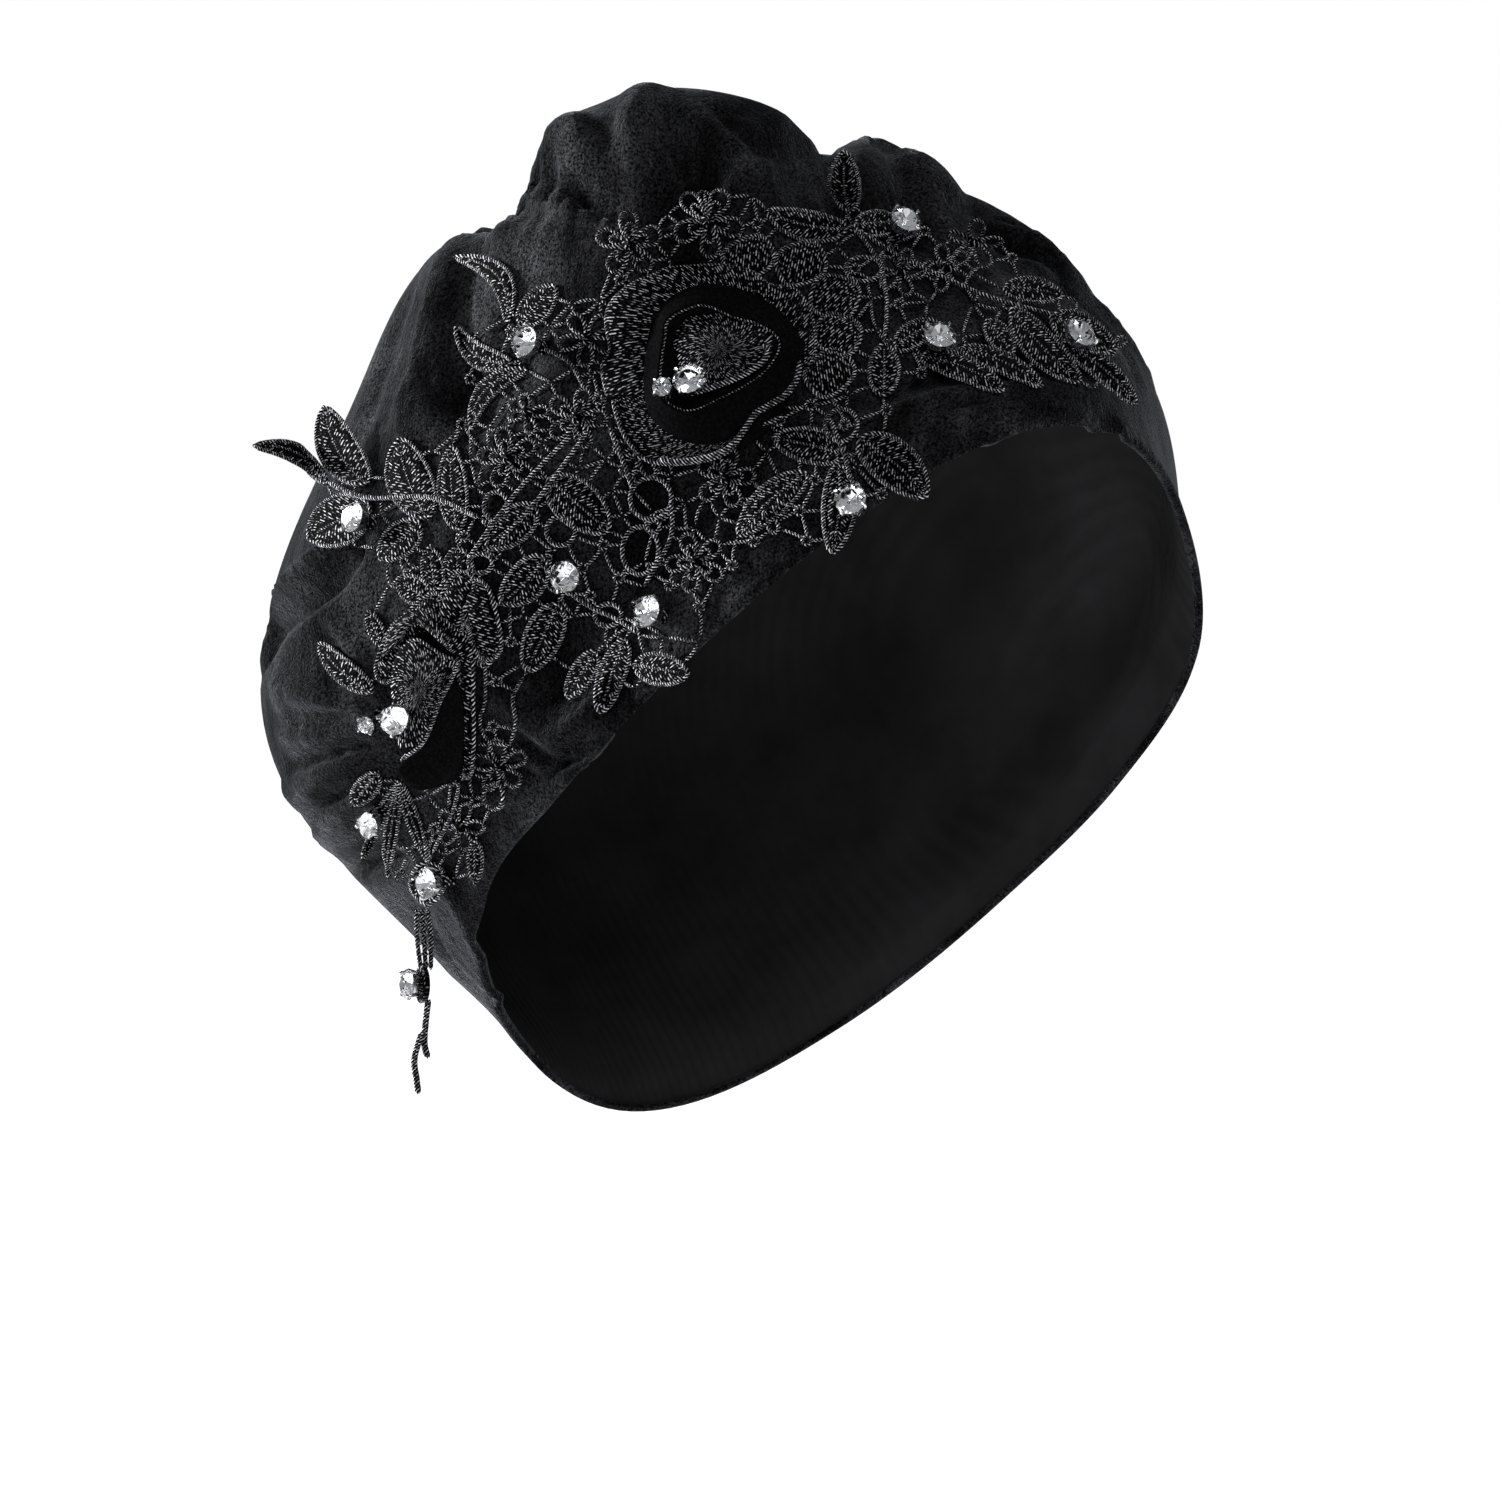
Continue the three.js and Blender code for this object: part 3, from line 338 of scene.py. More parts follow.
def noise_node(nodes, links, source, scale, detail=4.0, roughness=0.6, stretch=None, shift=(0, 0, 0)):
    noise = nodes.new("ShaderNodeTexNoise")
    noise.inputs["Scale"].default_value = scale
    noise.inputs["Detail"].default_value = detail
    noise.inputs["Roughness"].default_value = roughness
    if stretch is None:
        links.new(source, noise.inputs["Vector"])
        return noise
    mapping = nodes.new("ShaderNodeMapping")
    mapping.inputs["Location"].default_value = shift
    mapping.inputs["Rotation"].default_value = stretch[0]
    mapping.inputs["Scale"].default_value = stretch[1]
    links.new(source, mapping.inputs["Vector"])
    links.new(mapping.outputs["Vector"], noise.inputs["Vector"])
    return noise


def ramp_node(nodes, links, source, stops):
    ramp = nodes.new("ShaderNodeValToRGB")
    while len(ramp.color_ramp.elements) > len(stops):
        ramp.color_ramp.elements.remove(ramp.color_ramp.elements[-1])
    while len(ramp.color_ramp.elements) < len(stops):
        ramp.color_ramp.elements.new(0.5)
    for element, (position, colour) in zip(ramp.color_ramp.elements, stops):
        element.position = position
        element.color = (*colour, 1)
    links.new(source, ramp.inputs["Fac"])
    return ramp


def bump_node(nodes, links, height, distance, strength=1.0, normal=None):
    bump = nodes.new("ShaderNodeBump")
    bump.inputs["Strength"].default_value = strength
    bump.inputs["Distance"].default_value = distance
    links.new(height, bump.inputs["Height"])
    if normal is not None:
        links.new(normal, bump.inputs["Normal"])
    return bump


def velvet_material():
    """Black crushed velvet: deep where the nap stands, with a thin bloom on the folds that turn away. Its
    base colour also holds painted glints, light specks on the pile, and painted sheen, lighter patches where
    a pressed nap would catch the light."""
    material, nodes, links, shader = new_material("velvet")
    place = nodes.new("ShaderNodeTexCoord").outputs["Object"]
    patches = noise_node(nodes, links, place, 55, 5, 0.62, ((0, 0, 0.6), (1, 1, 0.4)), (0.21, -0.13, 0.04))
    combed = noise_node(nodes, links, place, 330, 3, 0.65, ((0.5, 0.3, 0.9), (1, 1, 0.3)))
    pile = noise_node(nodes, links, place, 1500, 2, 0.75)
    # Painted glints: the pile's specks rise from the velvet's black to a light grey that stands in for fibre
    # tips catching the light.
    pile_tone_and_glints = ramp_node(nodes, links, pile.outputs["Fac"], [
        (0.38, (0.004, 0.004, 0.0045)), (0.7, (0.09, 0.092, 0.1)),
    ])
    # Painted sheen: the shade ramp brightens the specks in patches that stand in for sheen highlights, and
    # dims them between. The same patches also vary the roughness and the broad bump.
    shade = ramp_node(nodes, links, patches.outputs["Fac"],
                      [(0.38, (0.1,) * 3), (0.54, (0.34,) * 3), (0.72, (0.95,) * 3)])
    painted_sheen_colour = nodes.new("ShaderNodeMix")
    painted_sheen_colour.data_type = "RGBA"
    painted_sheen_colour.blend_type = "MULTIPLY"
    painted_sheen_colour.inputs["Factor"].default_value = 1
    links.new(pile_tone_and_glints.outputs["Color"], painted_sheen_colour.inputs["A"])
    links.new(shade.outputs["Color"], painted_sheen_colour.inputs["B"])
    links.new(painted_sheen_colour.outputs["Result"], shader.inputs["Base Color"])
    gloss = ramp_node(nodes, links, patches.outputs["Fac"], [(0.3, (0.6,) * 3), (0.7, (0.4,) * 3)])
    links.new(gloss.outputs["Color"], shader.inputs["Roughness"])
    shader.inputs["Specular IOR Level"].default_value = 0
    shader.inputs["Sheen Weight"].default_value = 0.2
    shader.inputs["Sheen Roughness"].default_value = 0.24
    shader.inputs["Sheen Tint"].default_value = (0.82, 0.86, 0.95, 1)
    broad = bump_node(nodes, links, patches.outputs["Fac"], 2.6 * MM, 0.9)
    lay = bump_node(nodes, links, combed.outputs["Fac"], 0.6 * MM, 0.7, broad.outputs["Normal"])
    fine = bump_node(nodes, links, pile.outputs["Fac"], 0.5 * MM, 1.0, lay.outputs["Normal"])
    links.new(fine.outputs["Normal"], shader.inputs["Normal"])
    return material


def reverse_material():
    """The knitted reverse of the velvet."""
    material, nodes, links, shader = new_material("velvet_reverse")
    place = nodes.new("ShaderNodeTexCoord").outputs["Object"]
    wales = nodes.new("ShaderNodeTexWave")
    wales.inputs["Scale"].default_value = 120
    wales.inputs["Distortion"].default_value = 1.2
    wales.inputs["Detail"].default_value = 2
    links.new(place, wales.inputs["Vector"])
    cloud = noise_node(nodes, links, place, 40, 4)
    colour = ramp_node(nodes, links, cloud.outputs["Fac"], [
        (0.3, (0.009, 0.009, 0.01)), (0.75, (0.02, 0.02, 0.022)),
    ])
    links.new(colour.outputs["Color"], shader.inputs["Base Color"])
    shader.inputs["Roughness"].default_value = 0.85
    shader.inputs["Specular IOR Level"].default_value = 0.2
    ribs = bump_node(nodes, links, wales.outputs["Fac"], 0.3 * MM, 0.6)
    links.new(ribs.outputs["Normal"], shader.inputs["Normal"])
    return material


def stitch_group():
    """Close turns of thread along a UV map's first axis, a little slanted and uneven, which Breaks parts into
    single stitches. Lit is how much each turn would catch the light, which the thread materials paint into
    their base colour as glints; Height, from the same values, is its relief."""
    group = bpy.data.node_groups.new("stitches", "ShaderNodeTree")
    group.interface.new_socket(name="UV", in_out="INPUT", socket_type="NodeSocketVector")
    for name in ("Turns", "Unevenness", "Breaks"):
        group.interface.new_socket(name=name, in_out="INPUT", socket_type="NodeSocketFloat")
    for name in ("Lit", "Height"):
        group.interface.new_socket(name=name, in_out="OUTPUT", socket_type="NodeSocketFloat")
    nodes, links = group.nodes, group.links
    given, made = nodes.new("NodeGroupInput"), nodes.new("NodeGroupOutput")
    slant = nodes.new("ShaderNodeMapping")
    slant.inputs["Rotation"].default_value = (0, 0, 0.55)
    links.new(given.outputs["UV"], slant.inputs["Vector"])
    turns = nodes.new("ShaderNodeTexWave")
    turns.bands_direction = "X"
    turns.inputs["Detail"].default_value = 2
    turns.inputs["Detail Scale"].default_value = 1.3
    links.new(slant.outputs["Vector"], turns.inputs["Vector"])
    links.new(given.outputs["Turns"], turns.inputs["Scale"])
    links.new(given.outputs["Unevenness"], turns.inputs["Distortion"])
    single = noise_node(nodes, links, given.outputs["UV"], 1100, 1, 0.5, ((0, 0, 0.4), (1, 0.6, 1)))
    breaks_and_glints = ramp_node(nodes, links, single.outputs["Fac"], [(0.4, (0.03,) * 3), (0.57, (1,) * 3)])
    broken = nodes.new("ShaderNodeMix")
    broken.inputs["A"].default_value = 1
    links.new(given.outputs["Breaks"], broken.inputs["Factor"])
    links.new(breaks_and_glints.outputs["Color"], broken.inputs["B"])
    lit = nodes.new("ShaderNodeMath")
    lit.operation = "MULTIPLY"
    links.new(turns.outputs["Fac"], lit.inputs[0])
    links.new(broken.outputs["Result"], lit.inputs[1])
    links.new(lit.outputs["Value"], made.inputs["Lit"])
    links.new(lit.outputs["Value"], made.inputs["Height"])
    return group


def thread_material(name, turns, unevenness, breaks, ground, glints, relief):
    """Black satin thread, with painted glints: its base colour turns grey on the turns where they would catch
    the light.
    """
    material, nodes, links, shader = new_material(name)
    uv = nodes.new("ShaderNodeUVMap")
    laid = nodes.new("ShaderNodeGroup")
    laid.node_tree = stitches
    laid.inputs["Turns"].default_value = turns
    laid.inputs["Unevenness"].default_value = unevenness
    laid.inputs["Breaks"].default_value = breaks
    links.new(uv.outputs["UV"], laid.inputs["UV"])
    # Painted glints: the base colour runs from the thread's black to grey where the turns would be lit.
    colour = ramp_node(nodes, links, laid.outputs["Lit"], [
        (0.46, (ground, ground, 1.2 * ground)), (0.75, (0.16 * glints, 0.16 * glints, 0.18 * glints)),
        (0.94, (glints, glints, 1.05 * glints)),
    ])
    links.new(colour.outputs["Color"], shader.inputs["Base Color"])
    gloss = ramp_node(nodes, links, laid.outputs["Lit"], [(0.2, (0.8,) * 3), (0.8, (0.4,) * 3)])
    links.new(gloss.outputs["Color"], shader.inputs["Roughness"])
    shader.inputs["Specular IOR Level"].default_value = 0.02
    twist = bump_node(nodes, links, laid.outputs["Height"], relief * MM, 1.0)
    links.new(twist.outputs["Normal"], shader.inputs["Normal"])
    return material


def cloth_material():
    """The smooth black cloth that the roses are folded from."""
    material, nodes, links, shader = new_material("rose_cloth")
    place = nodes.new("ShaderNodeTexCoord").outputs["Object"]
    weave = noise_node(nodes, links, place, 1400, 2)
    tone = ramp_node(nodes, links, weave.outputs["Fac"], [(0.4, (0.002,) * 3), (0.75, (0.006, 0.006, 0.007))])
    links.new(tone.outputs["Color"], shader.inputs["Base Color"])
    shader.inputs["Roughness"].default_value = 0.7
    shader.inputs["Specular IOR Level"].default_value = 0
    bump = bump_node(nodes, links, weave.outputs["Fac"], 0.2 * MM, 0.6)
    links.new(bump.outputs["Normal"], shader.inputs["Normal"])
    return material


def glass_material():
    material, nodes, links, shader = new_material("crystal")
    shader.inputs["Base Color"].default_value = (0.97, 0.98, 1, 1)
    shader.inputs["Roughness"].default_value = 0.015
    shader.inputs["IOR"].default_value = 1.58
    shader.inputs["Transmission Weight"].default_value = 1
    return material


def metal_material(name, colour, roughness):
    material, nodes, links, shader = new_material(name)
    place = nodes.new("ShaderNodeTexCoord").outputs["Object"]
    wear = noise_node(nodes, links, place, 700, 4)
    tone = ramp_node(nodes, links, wear.outputs["Fac"], [
        (0.3, tuple(0.8 * channel for channel in colour)), (0.7, colour),
    ])
    links.new(tone.outputs["Color"], shader.inputs["Base Color"])
    shader.inputs["Metallic"].default_value = 1
    shader.inputs["Roughness"].default_value = roughness
    return material


velvet = velvet_material()
reverse = reverse_material()
stitches = stitch_group()
thread = thread_material("cord_thread", 420, 1.0, 0.3, 0.002, 0.75, 0.35)
satin = thread_material("satin_thread", 430, 2.4, 1.0, 0.0005, 0.54, 0.35)
rose_cloth = cloth_material()
glass = glass_material()
foil = metal_material("stone_foil", (0.93, 0.94, 0.96), 0.06)
silver = metal_material("silver", (0.72, 0.72, 0.74), 0.24)


# The crown.
def crown_places(u, v):
    # The columns stand closest over the right brow, where the folds are.
    around = 50 + 360 * (u - 0.5) - 38 * np.sin(2 * math.pi * (u - 0.5))
    rim = around_sections(around, RIMS)
    up = rim + (90 - rim) * v
    rounded = np.clip(1 - v / 0.012, 0, 1) ** 2 * 1.2 * MM
    radius = crown_radius(around, up) - rounded
    return CROWN_CORE + heading(around, up) * radius[:, None]


def make_crown():
    bm = bmesh.new()
    woven_grid(bm, UP_STEPS, AROUND_STEPS, crown_places)
    bmesh.ops.remove_doubles(bm, verts=bm.verts, dist=0.01 * MM)
    bmesh.ops.recalc_face_normals(bm, faces=bm.faces)
    crown = new_piece("crown_velvet", bm, velvet, reverse)
    wall = crown.modifiers.new("wall", "SOLIDIFY")
    wall.thickness = CLOTH
    wall.offset = -1
    wall.material_offset = 1
    wall.material_offset_rim = 0
    return crown


crown = make_crown()
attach(crown, "root")
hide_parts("crown")

# The drape: how far from the eye the trim lies under each chart point. It bridges creases, hangs off
# the edge of the crown and lies on the brow where it laps over the hem.
DRAPE_STEP = 1.25
DRAPE_LOW = (-164, -220)
DRAPE_COUNT = (212, 222)
DRAPE_SLOPE = 1.3
FREE_SLOPE = 0.9
DRAPE_PASSES = 60
BROW_ROOM = 5 * MM
CLEARANCE = 0.5 * MM


def make_drape():
    grid = [DRAPE_LOW[k] + DRAPE_STEP * np.arange(DRAPE_COUNT[k]) for k in (0, 1)]
    a, b = np.meshgrid(*grid, indexing="ij")
    rays = chart_ray(a, b)
    semi = WEARER_SEMI + BROW_ROOM
    start, along = (EYE - WEARER_CENTRE) / semi, rays / semi
    square, half = (along * along).sum(-1), along @ start
    inside = half * half - square * (start @ start - 1)
    reach = np.where(inside > 0, (-half - np.sqrt(np.maximum(inside, 0))) / square, 9)
    eye = Vector(EYE)
    for index in np.ndindex(a.shape):
        place, normal, face, distance = crown_tree.ray_cast(eye, Vector(rays[index]), 3)
        if distance is not None:
            reach[index] = min(reach[index], distance)
    slopes = np.where(reach < 9, DRAPE_SLOPE, FREE_SLOPE) * DRAPE_STEP * MM
    for turn in range(DRAPE_PASSES):
        for right, up in ((1, 0), (-1, 0), (0, 1), (0, -1), (1, 1), (1, -1), (-1, 1), (-1, -1)):
            near = np.roll(reach, (right, up), (0, 1)) + slopes * math.hypot(right, up)
            reach = np.minimum(reach, near)
    soft = reach
    for turn in range(2):
        around = sum(np.roll(soft, shift, (0, 1)) for shift in ((1, 0), (-1, 0), (0, 1), (0, -1)))
        soft = np.minimum(reach, (around + 4 * soft) / 8)
    return soft


def reach_at(a, b):
    column = np.clip((np.asarray(a, float) - DRAPE_LOW[0]) / DRAPE_STEP, 0, DRAPE_COUNT[0] - 1.001)
    row = np.clip((np.asarray(b, float) - DRAPE_LOW[1]) / DRAPE_STEP, 0, DRAPE_COUNT[1] - 1.001)
    i, j = column.astype(int), row.astype(int)
    s, t = column - i, row - j
    low = drape[i, j] * (1 - s) + drape[i + 1, j] * s
    high = drape[i, j + 1] * (1 - s) + drape[i + 1, j + 1] * s
    return low * (1 - t) + high * t


def under_drape(a, b):
    return EYE + chart_ray(a, b) * reach_at(a, b)[..., None]


def drape_normal(a, b):
    across = under_drape(a + 1, b) - under_drape(a - 1, b)
    upward = under_drape(a, b + 1) - under_drape(a, b - 1)
    normal = np.cross(across, upward)
    return normal / np.linalg.norm(normal, axis=-1)[..., None]


def draped(a, b, height):
    """Points over the crown at chart points in mm, at heights in mm."""
    a, b = np.asarray(a, float), np.asarray(b, float)
    lift = CLEARANCE + np.asarray(height, float) * MM
    return under_drape(a, b) + drape_normal(a, b) * np.broadcast_to(lift, a.shape)[..., None]


def shown(a, b, height):
    """Points at heights in mm that are seen from the eye at chart points in mm."""
    sought = np.stack(np.broadcast_arrays(np.asarray(a, float), b), -1)
    under = sought.copy()
    for turn in range(5):
        rays = draped(under[..., 0], under[..., 1], height) - EYE
        seen = EYE + rays * (-CHART_DISTANCE / (rays @ CHART_OUT))[..., None]
        under += 0.8 * (sought - np.stack([seen @ CHART_RIGHT, seen @ CHART_UP], -1) / MM)
    return draped(under[..., 0], under[..., 1], height)


# Trim shapes on the chart.
def smooth_path(points, spacing, closed=False):
    """A smooth curve through chart points, in even steps of about the spacing."""
    points = np.array(points, float)
    count = len(points)
    spans = count if closed else count - 1
    pieces = []
    for span in range(spans):
        if closed:
            picked = [points[(span + step) % count] for step in (-1, 0, 1, 2)]
        else:
            picked = [points[min(max(span + step, 0), count - 1)] for step in (-1, 0, 1, 2)]
        share = np.linspace(0, 1, 12, endpoint=False)[:, None]
        pieces.append(smoothed(picked, share))
    fine = np.vstack(pieces + [points[:1] if closed else points[-1:]])
    travel = np.concatenate([[0], np.cumsum(np.linalg.norm(np.diff(fine, axis=0), axis=1))])
    steps = max(3, round(travel[-1] / spacing))
    marks = np.linspace(0, travel[-1], steps + 1)
    return np.stack([np.interp(marks, travel, fine[:, k]) for k in (0, 1)], -1)


def tube(bm, centres, ups, radius, sides=6, flat=1.0):
    """A round thread of one radius along points; its first and last points meet if it is a loop."""
    closed = np.linalg.norm(centres[0] - centres[-1]) < 0.02 * MM
    if closed:
        tangents = np.roll(centres[:-1], -1, 0) - np.roll(centres[:-1], 1, 0)
        tangents = np.vstack([tangents, tangents[:1]])
    else:
        tangents = np.gradient(centres, axis=0)
    tangents /= np.maximum(np.linalg.norm(tangents, axis=1), 1e-9)[:, None]
    across = np.cross(ups, tangents)
    across /= np.maximum(np.linalg.norm(across, axis=1), 1e-9)[:, None]
    over = np.cross(tangents, across)
    size = np.full(len(centres), radius)
    if not closed:
        size[[0, -1]] = 0
    steps = len(centres) - 1
    length = np.linalg.norm(np.diff(centres, axis=0), axis=1).sum()

    def place(u, v):
        at = np.rint(u * steps).astype(int)
        turn = 2 * math.pi * v
        side = np.cos(turn)[:, None] * across[at] + flat * np.sin(turn)[:, None] * over[at]
        return centres[at] + size[at, None] * side

    woven_grid(bm, sides, steps, place, length, 2 * math.pi * radius)


def cord(bm, path, radius, lift=0.3, sides=6, flat=0.8):
    """A whipped cord along a chart path. radius and lift in mm; lift may vary along the path."""
    a, b = path[:, 0], path[:, 1]
    tube(bm, draped(a, b, lift), drape_normal(a, b), radius * MM, sides, flat)


def swirl(points, turn, at):
    """Chart points turned by degrees, then moved."""
    turn = math.radians(turn)
    x, y = points[:, 0], points[:, 1]
    return np.stack([
        at[0] + x * math.cos(turn) - y * math.sin(turn), at[1] + x * math.sin(turn) + y * math.cos(turn),
    ], -1)


def leaf_half_width(u, width):
    return width / 2 * np.maximum(np.sin(math.pi * np.clip(u, 0, 1) ** 0.9), 0) ** 0.6


def leaf_point(leaf, u, side):
    """A chart point of a leaf: u from base to tip, side from -1 to 1."""
    base, tip = np.array(leaf[0:2]), np.array(leaf[2:4])
    along = tip - base
    across = np.array([-along[1], along[0]]) / np.linalg.norm(along)
    bow = 4 * u * (1 - u) * leaf[5]
    return base + u[..., None] * along + (bow + side * leaf_half_width(u, leaf[4]))[..., None] * across


def leaf_outline(leaf, steps=15):
    u = np.linspace(0, 1, steps)
    return np.vstack([leaf_point(leaf, u, np.full(steps, 1.0)),
                      leaf_point(leaf, u[-2::-1], np.full(steps - 1, -1.0))])


def leaf_lift(leaf, u):
    return leaf[6] * np.clip(u, 0, 1) ** 2


def make_leaf(blades, cords, leaf):
    """leaf: base, tip, width, bend, lift of the tip, all in mm."""
    length = math.dist(leaf[0:2], leaf[2:4])

    def place(u, v):
        side = 2 * v - 1
        point = leaf_point(leaf, u, 0.97 * side)
        groove = 0.5 * np.exp(-(side / 0.2) ** 2)
        height = 0.25 + 0.75 * (1 - side ** 2) * np.sin(math.pi * u) ** 0.5 - groove * np.sin(math.pi * u)
        return draped(point[:, 0], point[:, 1], height + leaf_lift(leaf, u))

    woven_grid(blades, 8, max(8, round(length / 1.3)), place, length * MM, leaf[4] * MM, mirrored=True)
    steps = max(9, round(length / 1.1))
    outline = leaf_outline(leaf, steps)
    share = np.concatenate([np.linspace(0, 1, steps), np.linspace(0, 1, steps)[-2::-1]])
    cord(cords, outline, 0.55, 0.35 + leaf_lift(leaf, share))
    u = np.linspace(0.02, 0.86, max(6, round(length / 1.5)))
    rib = leaf_point(leaf, u, np.zeros(len(u)))
    cord(cords, rib, 0.34, 0.55 + leaf_lift(leaf, u), 5)
    return outline


def make_flower(cords, flower):
    """flower: centre, radius, turn, petals. Each petal is an open loop, with a smaller loop in it when the
    radius is over 7.2 mm.
    """
    a, b, radius, turn, petals = flower
    outlines = []
    for petal in range(petals):
        angle = turn + 360 / petals * petal
        for share in (1, 0.55) if radius > 7.2 else (1,):
            t = np.linspace(0, 1, 19)
            reach = radius * share * (0.5 - 0.5 * np.cos(2 * math.pi * t)) ** 0.8
            width = 0.30 * radius * share * np.sin(2 * math.pi * t) * (0.6 + 0.4 * reach / radius)
            start = 0.1 * radius
            loop = swirl(np.stack([start + reach * 0.9, width], -1), angle, (a, b))
            cord(cords, loop, 0.5 if share == 1 else 0.36, 0.35 if share == 1 else 0.5, 5)
            if share == 1:
                outlines.append(loop)
    return outlines


def make_knot(blades, a, b, radius, height):
    """A padded satin dot."""

    def place(u, v):
        turn, away = 2 * math.pi * u, v
        spot = np.stack([radius * away * np.cos(turn), radius * away * np.sin(turn)], -1)
        return draped(a + spot[:, 0], b + spot[:, 1], height * np.sqrt(1 - away ** 2) + 0.2)

    woven_grid(blades, 3, 10, place, 2 * math.pi * radius * MM, radius * MM)


def make_petal(blades, cords, petal):
    """petal: centre, half length, half width, turn, lift, dome: an oval of satin threads laid across."""
    a, b, half_length, half_width, turn, lift, dome = petal

    def oval(along, side):
        width = half_width * np.maximum(1 - np.abs(along) ** 3.4, 0) ** 0.4
        return swirl(np.stack([half_length * along, width * side], -1), turn, (a, b))

    def place(u, v):
        along, side = 2 * u - 1, 2 * v - 1
        spot = oval(0.98 * along, 0.98 * side)
        height = lift + dome * (1 - side ** 2) ** 0.6 * (1 - np.abs(along) ** 4)
        return draped(spot[:, 0], spot[:, 1], height)

    steps = max(8, round(half_length / 0.7))
    woven_grid(blades, 8, steps, place, 2 * half_length * MM, 2 * half_width * MM)
    along = np.cos(np.linspace(0, math.pi, 2 * steps))
    edge = np.vstack([oval(along, np.ones(len(along))), oval(along[-2::-1], -np.ones(len(along) - 1))])
    cord(cords, edge, 0.55, lift + 0.3)
    return edge


# Leaves: base a, base b, tip a, tip b, width, bend, lift of the tip.
LEAVES = [
    # Over the brow and the knot.
    (-0.5, 17, -1.25, 34.5, 7.5, 0.6, 1), (0.5, 14, 13.5, 15, 6.5, 0, 0), (-1, 13, -21, 17.5, 7, 1.4, 0),
    (8.5, -29, 8.5, -15.5, 7.5, 0, 0), (11, -17, 22, -10.5, 6, 0.6, 0), (17.5, -19, 38, -27, 6, 1.2, 0),
    (27.5, -17, 47.5, -26, 5, 1, 0), (34, -10, 40.5, -18.5, 5.5, 0, 0), (38, -2, 53, -4, 6, 0.6, 0),
    (40, -7, 57, -25, 8, -1.2, 0), (52.5, -15.5, 71, -31, 5.5, 1.6, 0), (50, -9, 65.5, -17, 8.5, 0, 0),
    # Left of the main rose.
    (-85, -10, -98, 6, 5, -5.5, 0.5), (-82, -10.5, -73, -1, 7, 0, 0), (-84, -20.5, -98.5, -11.5, 5.6, 2.6, 0),
    (-80, -22, -94.5, -37.5, 4.6, -4, 0),
    # The spray that stands past the crown's side.
    (-130, -50.5, -149.5, -41, 4.6, -3, 0), (-120, -50.5, -131, -31, 10, 2, 0),
    (-119.5, -55.5, -135, -64, 12, 0, 0), (-105, -59, -112, -39, 11, 1.2, 0),
    (-97.5, -62, -99, -41, 7, 0.6, 0), (-107, -60, -117, -69, 8, 0, 0),
    # Under the main rose.
    (-75, -49, -60, -62, 11, 0, 0), (-78, -56, -90.5, -66, 8.5, 0, 0), (-76, -68.5, -87, -80, 9, 0.8, 0),
    (-72.5, -80, -80.5, -97, 9, 0, 0), (-92.5, -77, -91, -96, 8.5, 0, 0), (-0.5, -43, -19, -39, 8.5, 0, 0),
    (-10.5, -48, -27.5, -63.5, 8, -1, 0), (2.5, -39, 19, -54, 11, 1, 0.5),
    (-2.5, -45.5, -4, -68, 8, 0.8, 0.5), (-53.5, -95.5, -39.5, -98, 7.5, 0, 0.5),
    (-55.5, -89, -62.5, -107, 6.5, 0, 0),
    (-63, -92, -70, -104, 6, 0, 0),
    # Round the side rose and down to the tail.
    (-119, -102, -132, -90, 5.5, 1, 0), (-103, -77, -104.5, -66, 5.5, 0, 0),
    (-97.5, -77, -97.5, -66, 7.5, 0, 0), (-105, -79, -112.5, -74, 6.5, 0, 0),
    (-105, -144, -105, -155.5, 9, 0, 0),
    (-93, -139, -93, -150, 3.5, 0, 0), (-112.5, -124, -105, -144, 3, 0, 0),
    (-112.5, -124, -116, -149, 3, 0, 0),
    (-112.5, -124, -122.5, -144, 3, 0, 0), (-117.5, -122, -124, -130, 5, 0, 0),
    (-116, -91, -120, -82, 3.6, 0, 0),
]

# Flowers of open loops: centre a, b, radius, turn, petals.
FLOWERS = [
    (-35.5, 15, 8.8, 60, 5), (-55, 9.5, 8, 20, 5), (31, 9.5, 7, 10, 5), (-65.5, -14, 7, 50, 5),
    (-68, -34, 7.5, 0, 5), (-85, -44, 7.5, 30, 5), (-52.5, -43, 6.5, 15, 5), (-38, -70, 7.5, 40, 5),
    (-31, -49, 7.5, 5, 5), (-87, -120.5, 7, 25, 5), (12.5, 2, 6, 0, 5), (24, 3, 6, 35, 5),
    (-97, -135.5, 6, 0, 5), (-80, -33, 5, 10, 4), (-20, -58, 5, 20, 4),
]

# Rings: centre a, b, radius across, radius up.
RINGS = [
    (-49.5, -54, 5.2, 5.2), (-52, -67, 4.6, 6), (-2, -36, 4, 4), (-72, -62, 3.6, 3.6), (-48.8, -61, 1.6, 1.6),
    (3, 3, 4.5, 3), (-88, -56, 3, 3.6), (-92, -70, 3, 2.4), (-60, -83, 3.4, 2.8), (-88.5, -128, 2.4, 3),
]

# Satin petals: centre a, b, half length, half width, turn, lift, dome.
PETALS = [
    (-25.5, 6, 6.2, 4.8, 25, 0.2, 1.1), (-12.5, 4.5, 6, 5, 20, 0.2, 1.1), (-4, -4, 6, 5.2, -15, 0.2, 1.1),
    (-3, -13.5, 5.6, 4.8, -20, 0.2, 1.1), (-5, -23, 6, 5, 40, 0.2, 1.1), (-99, -80.5, 9, 3.4, 64, 0.3, 1.1),
    (-107, -84, 8, 3.2, 45, 0.4, 1.1), (-91.5, -84, 10, 3.8, 103, 0.3, 1.1),
    (-94.9, -104, 19, 1.8, 91, 1.4, 0.9), (-113.5, -92, 8, 3, 68, 0.4, 1),
]

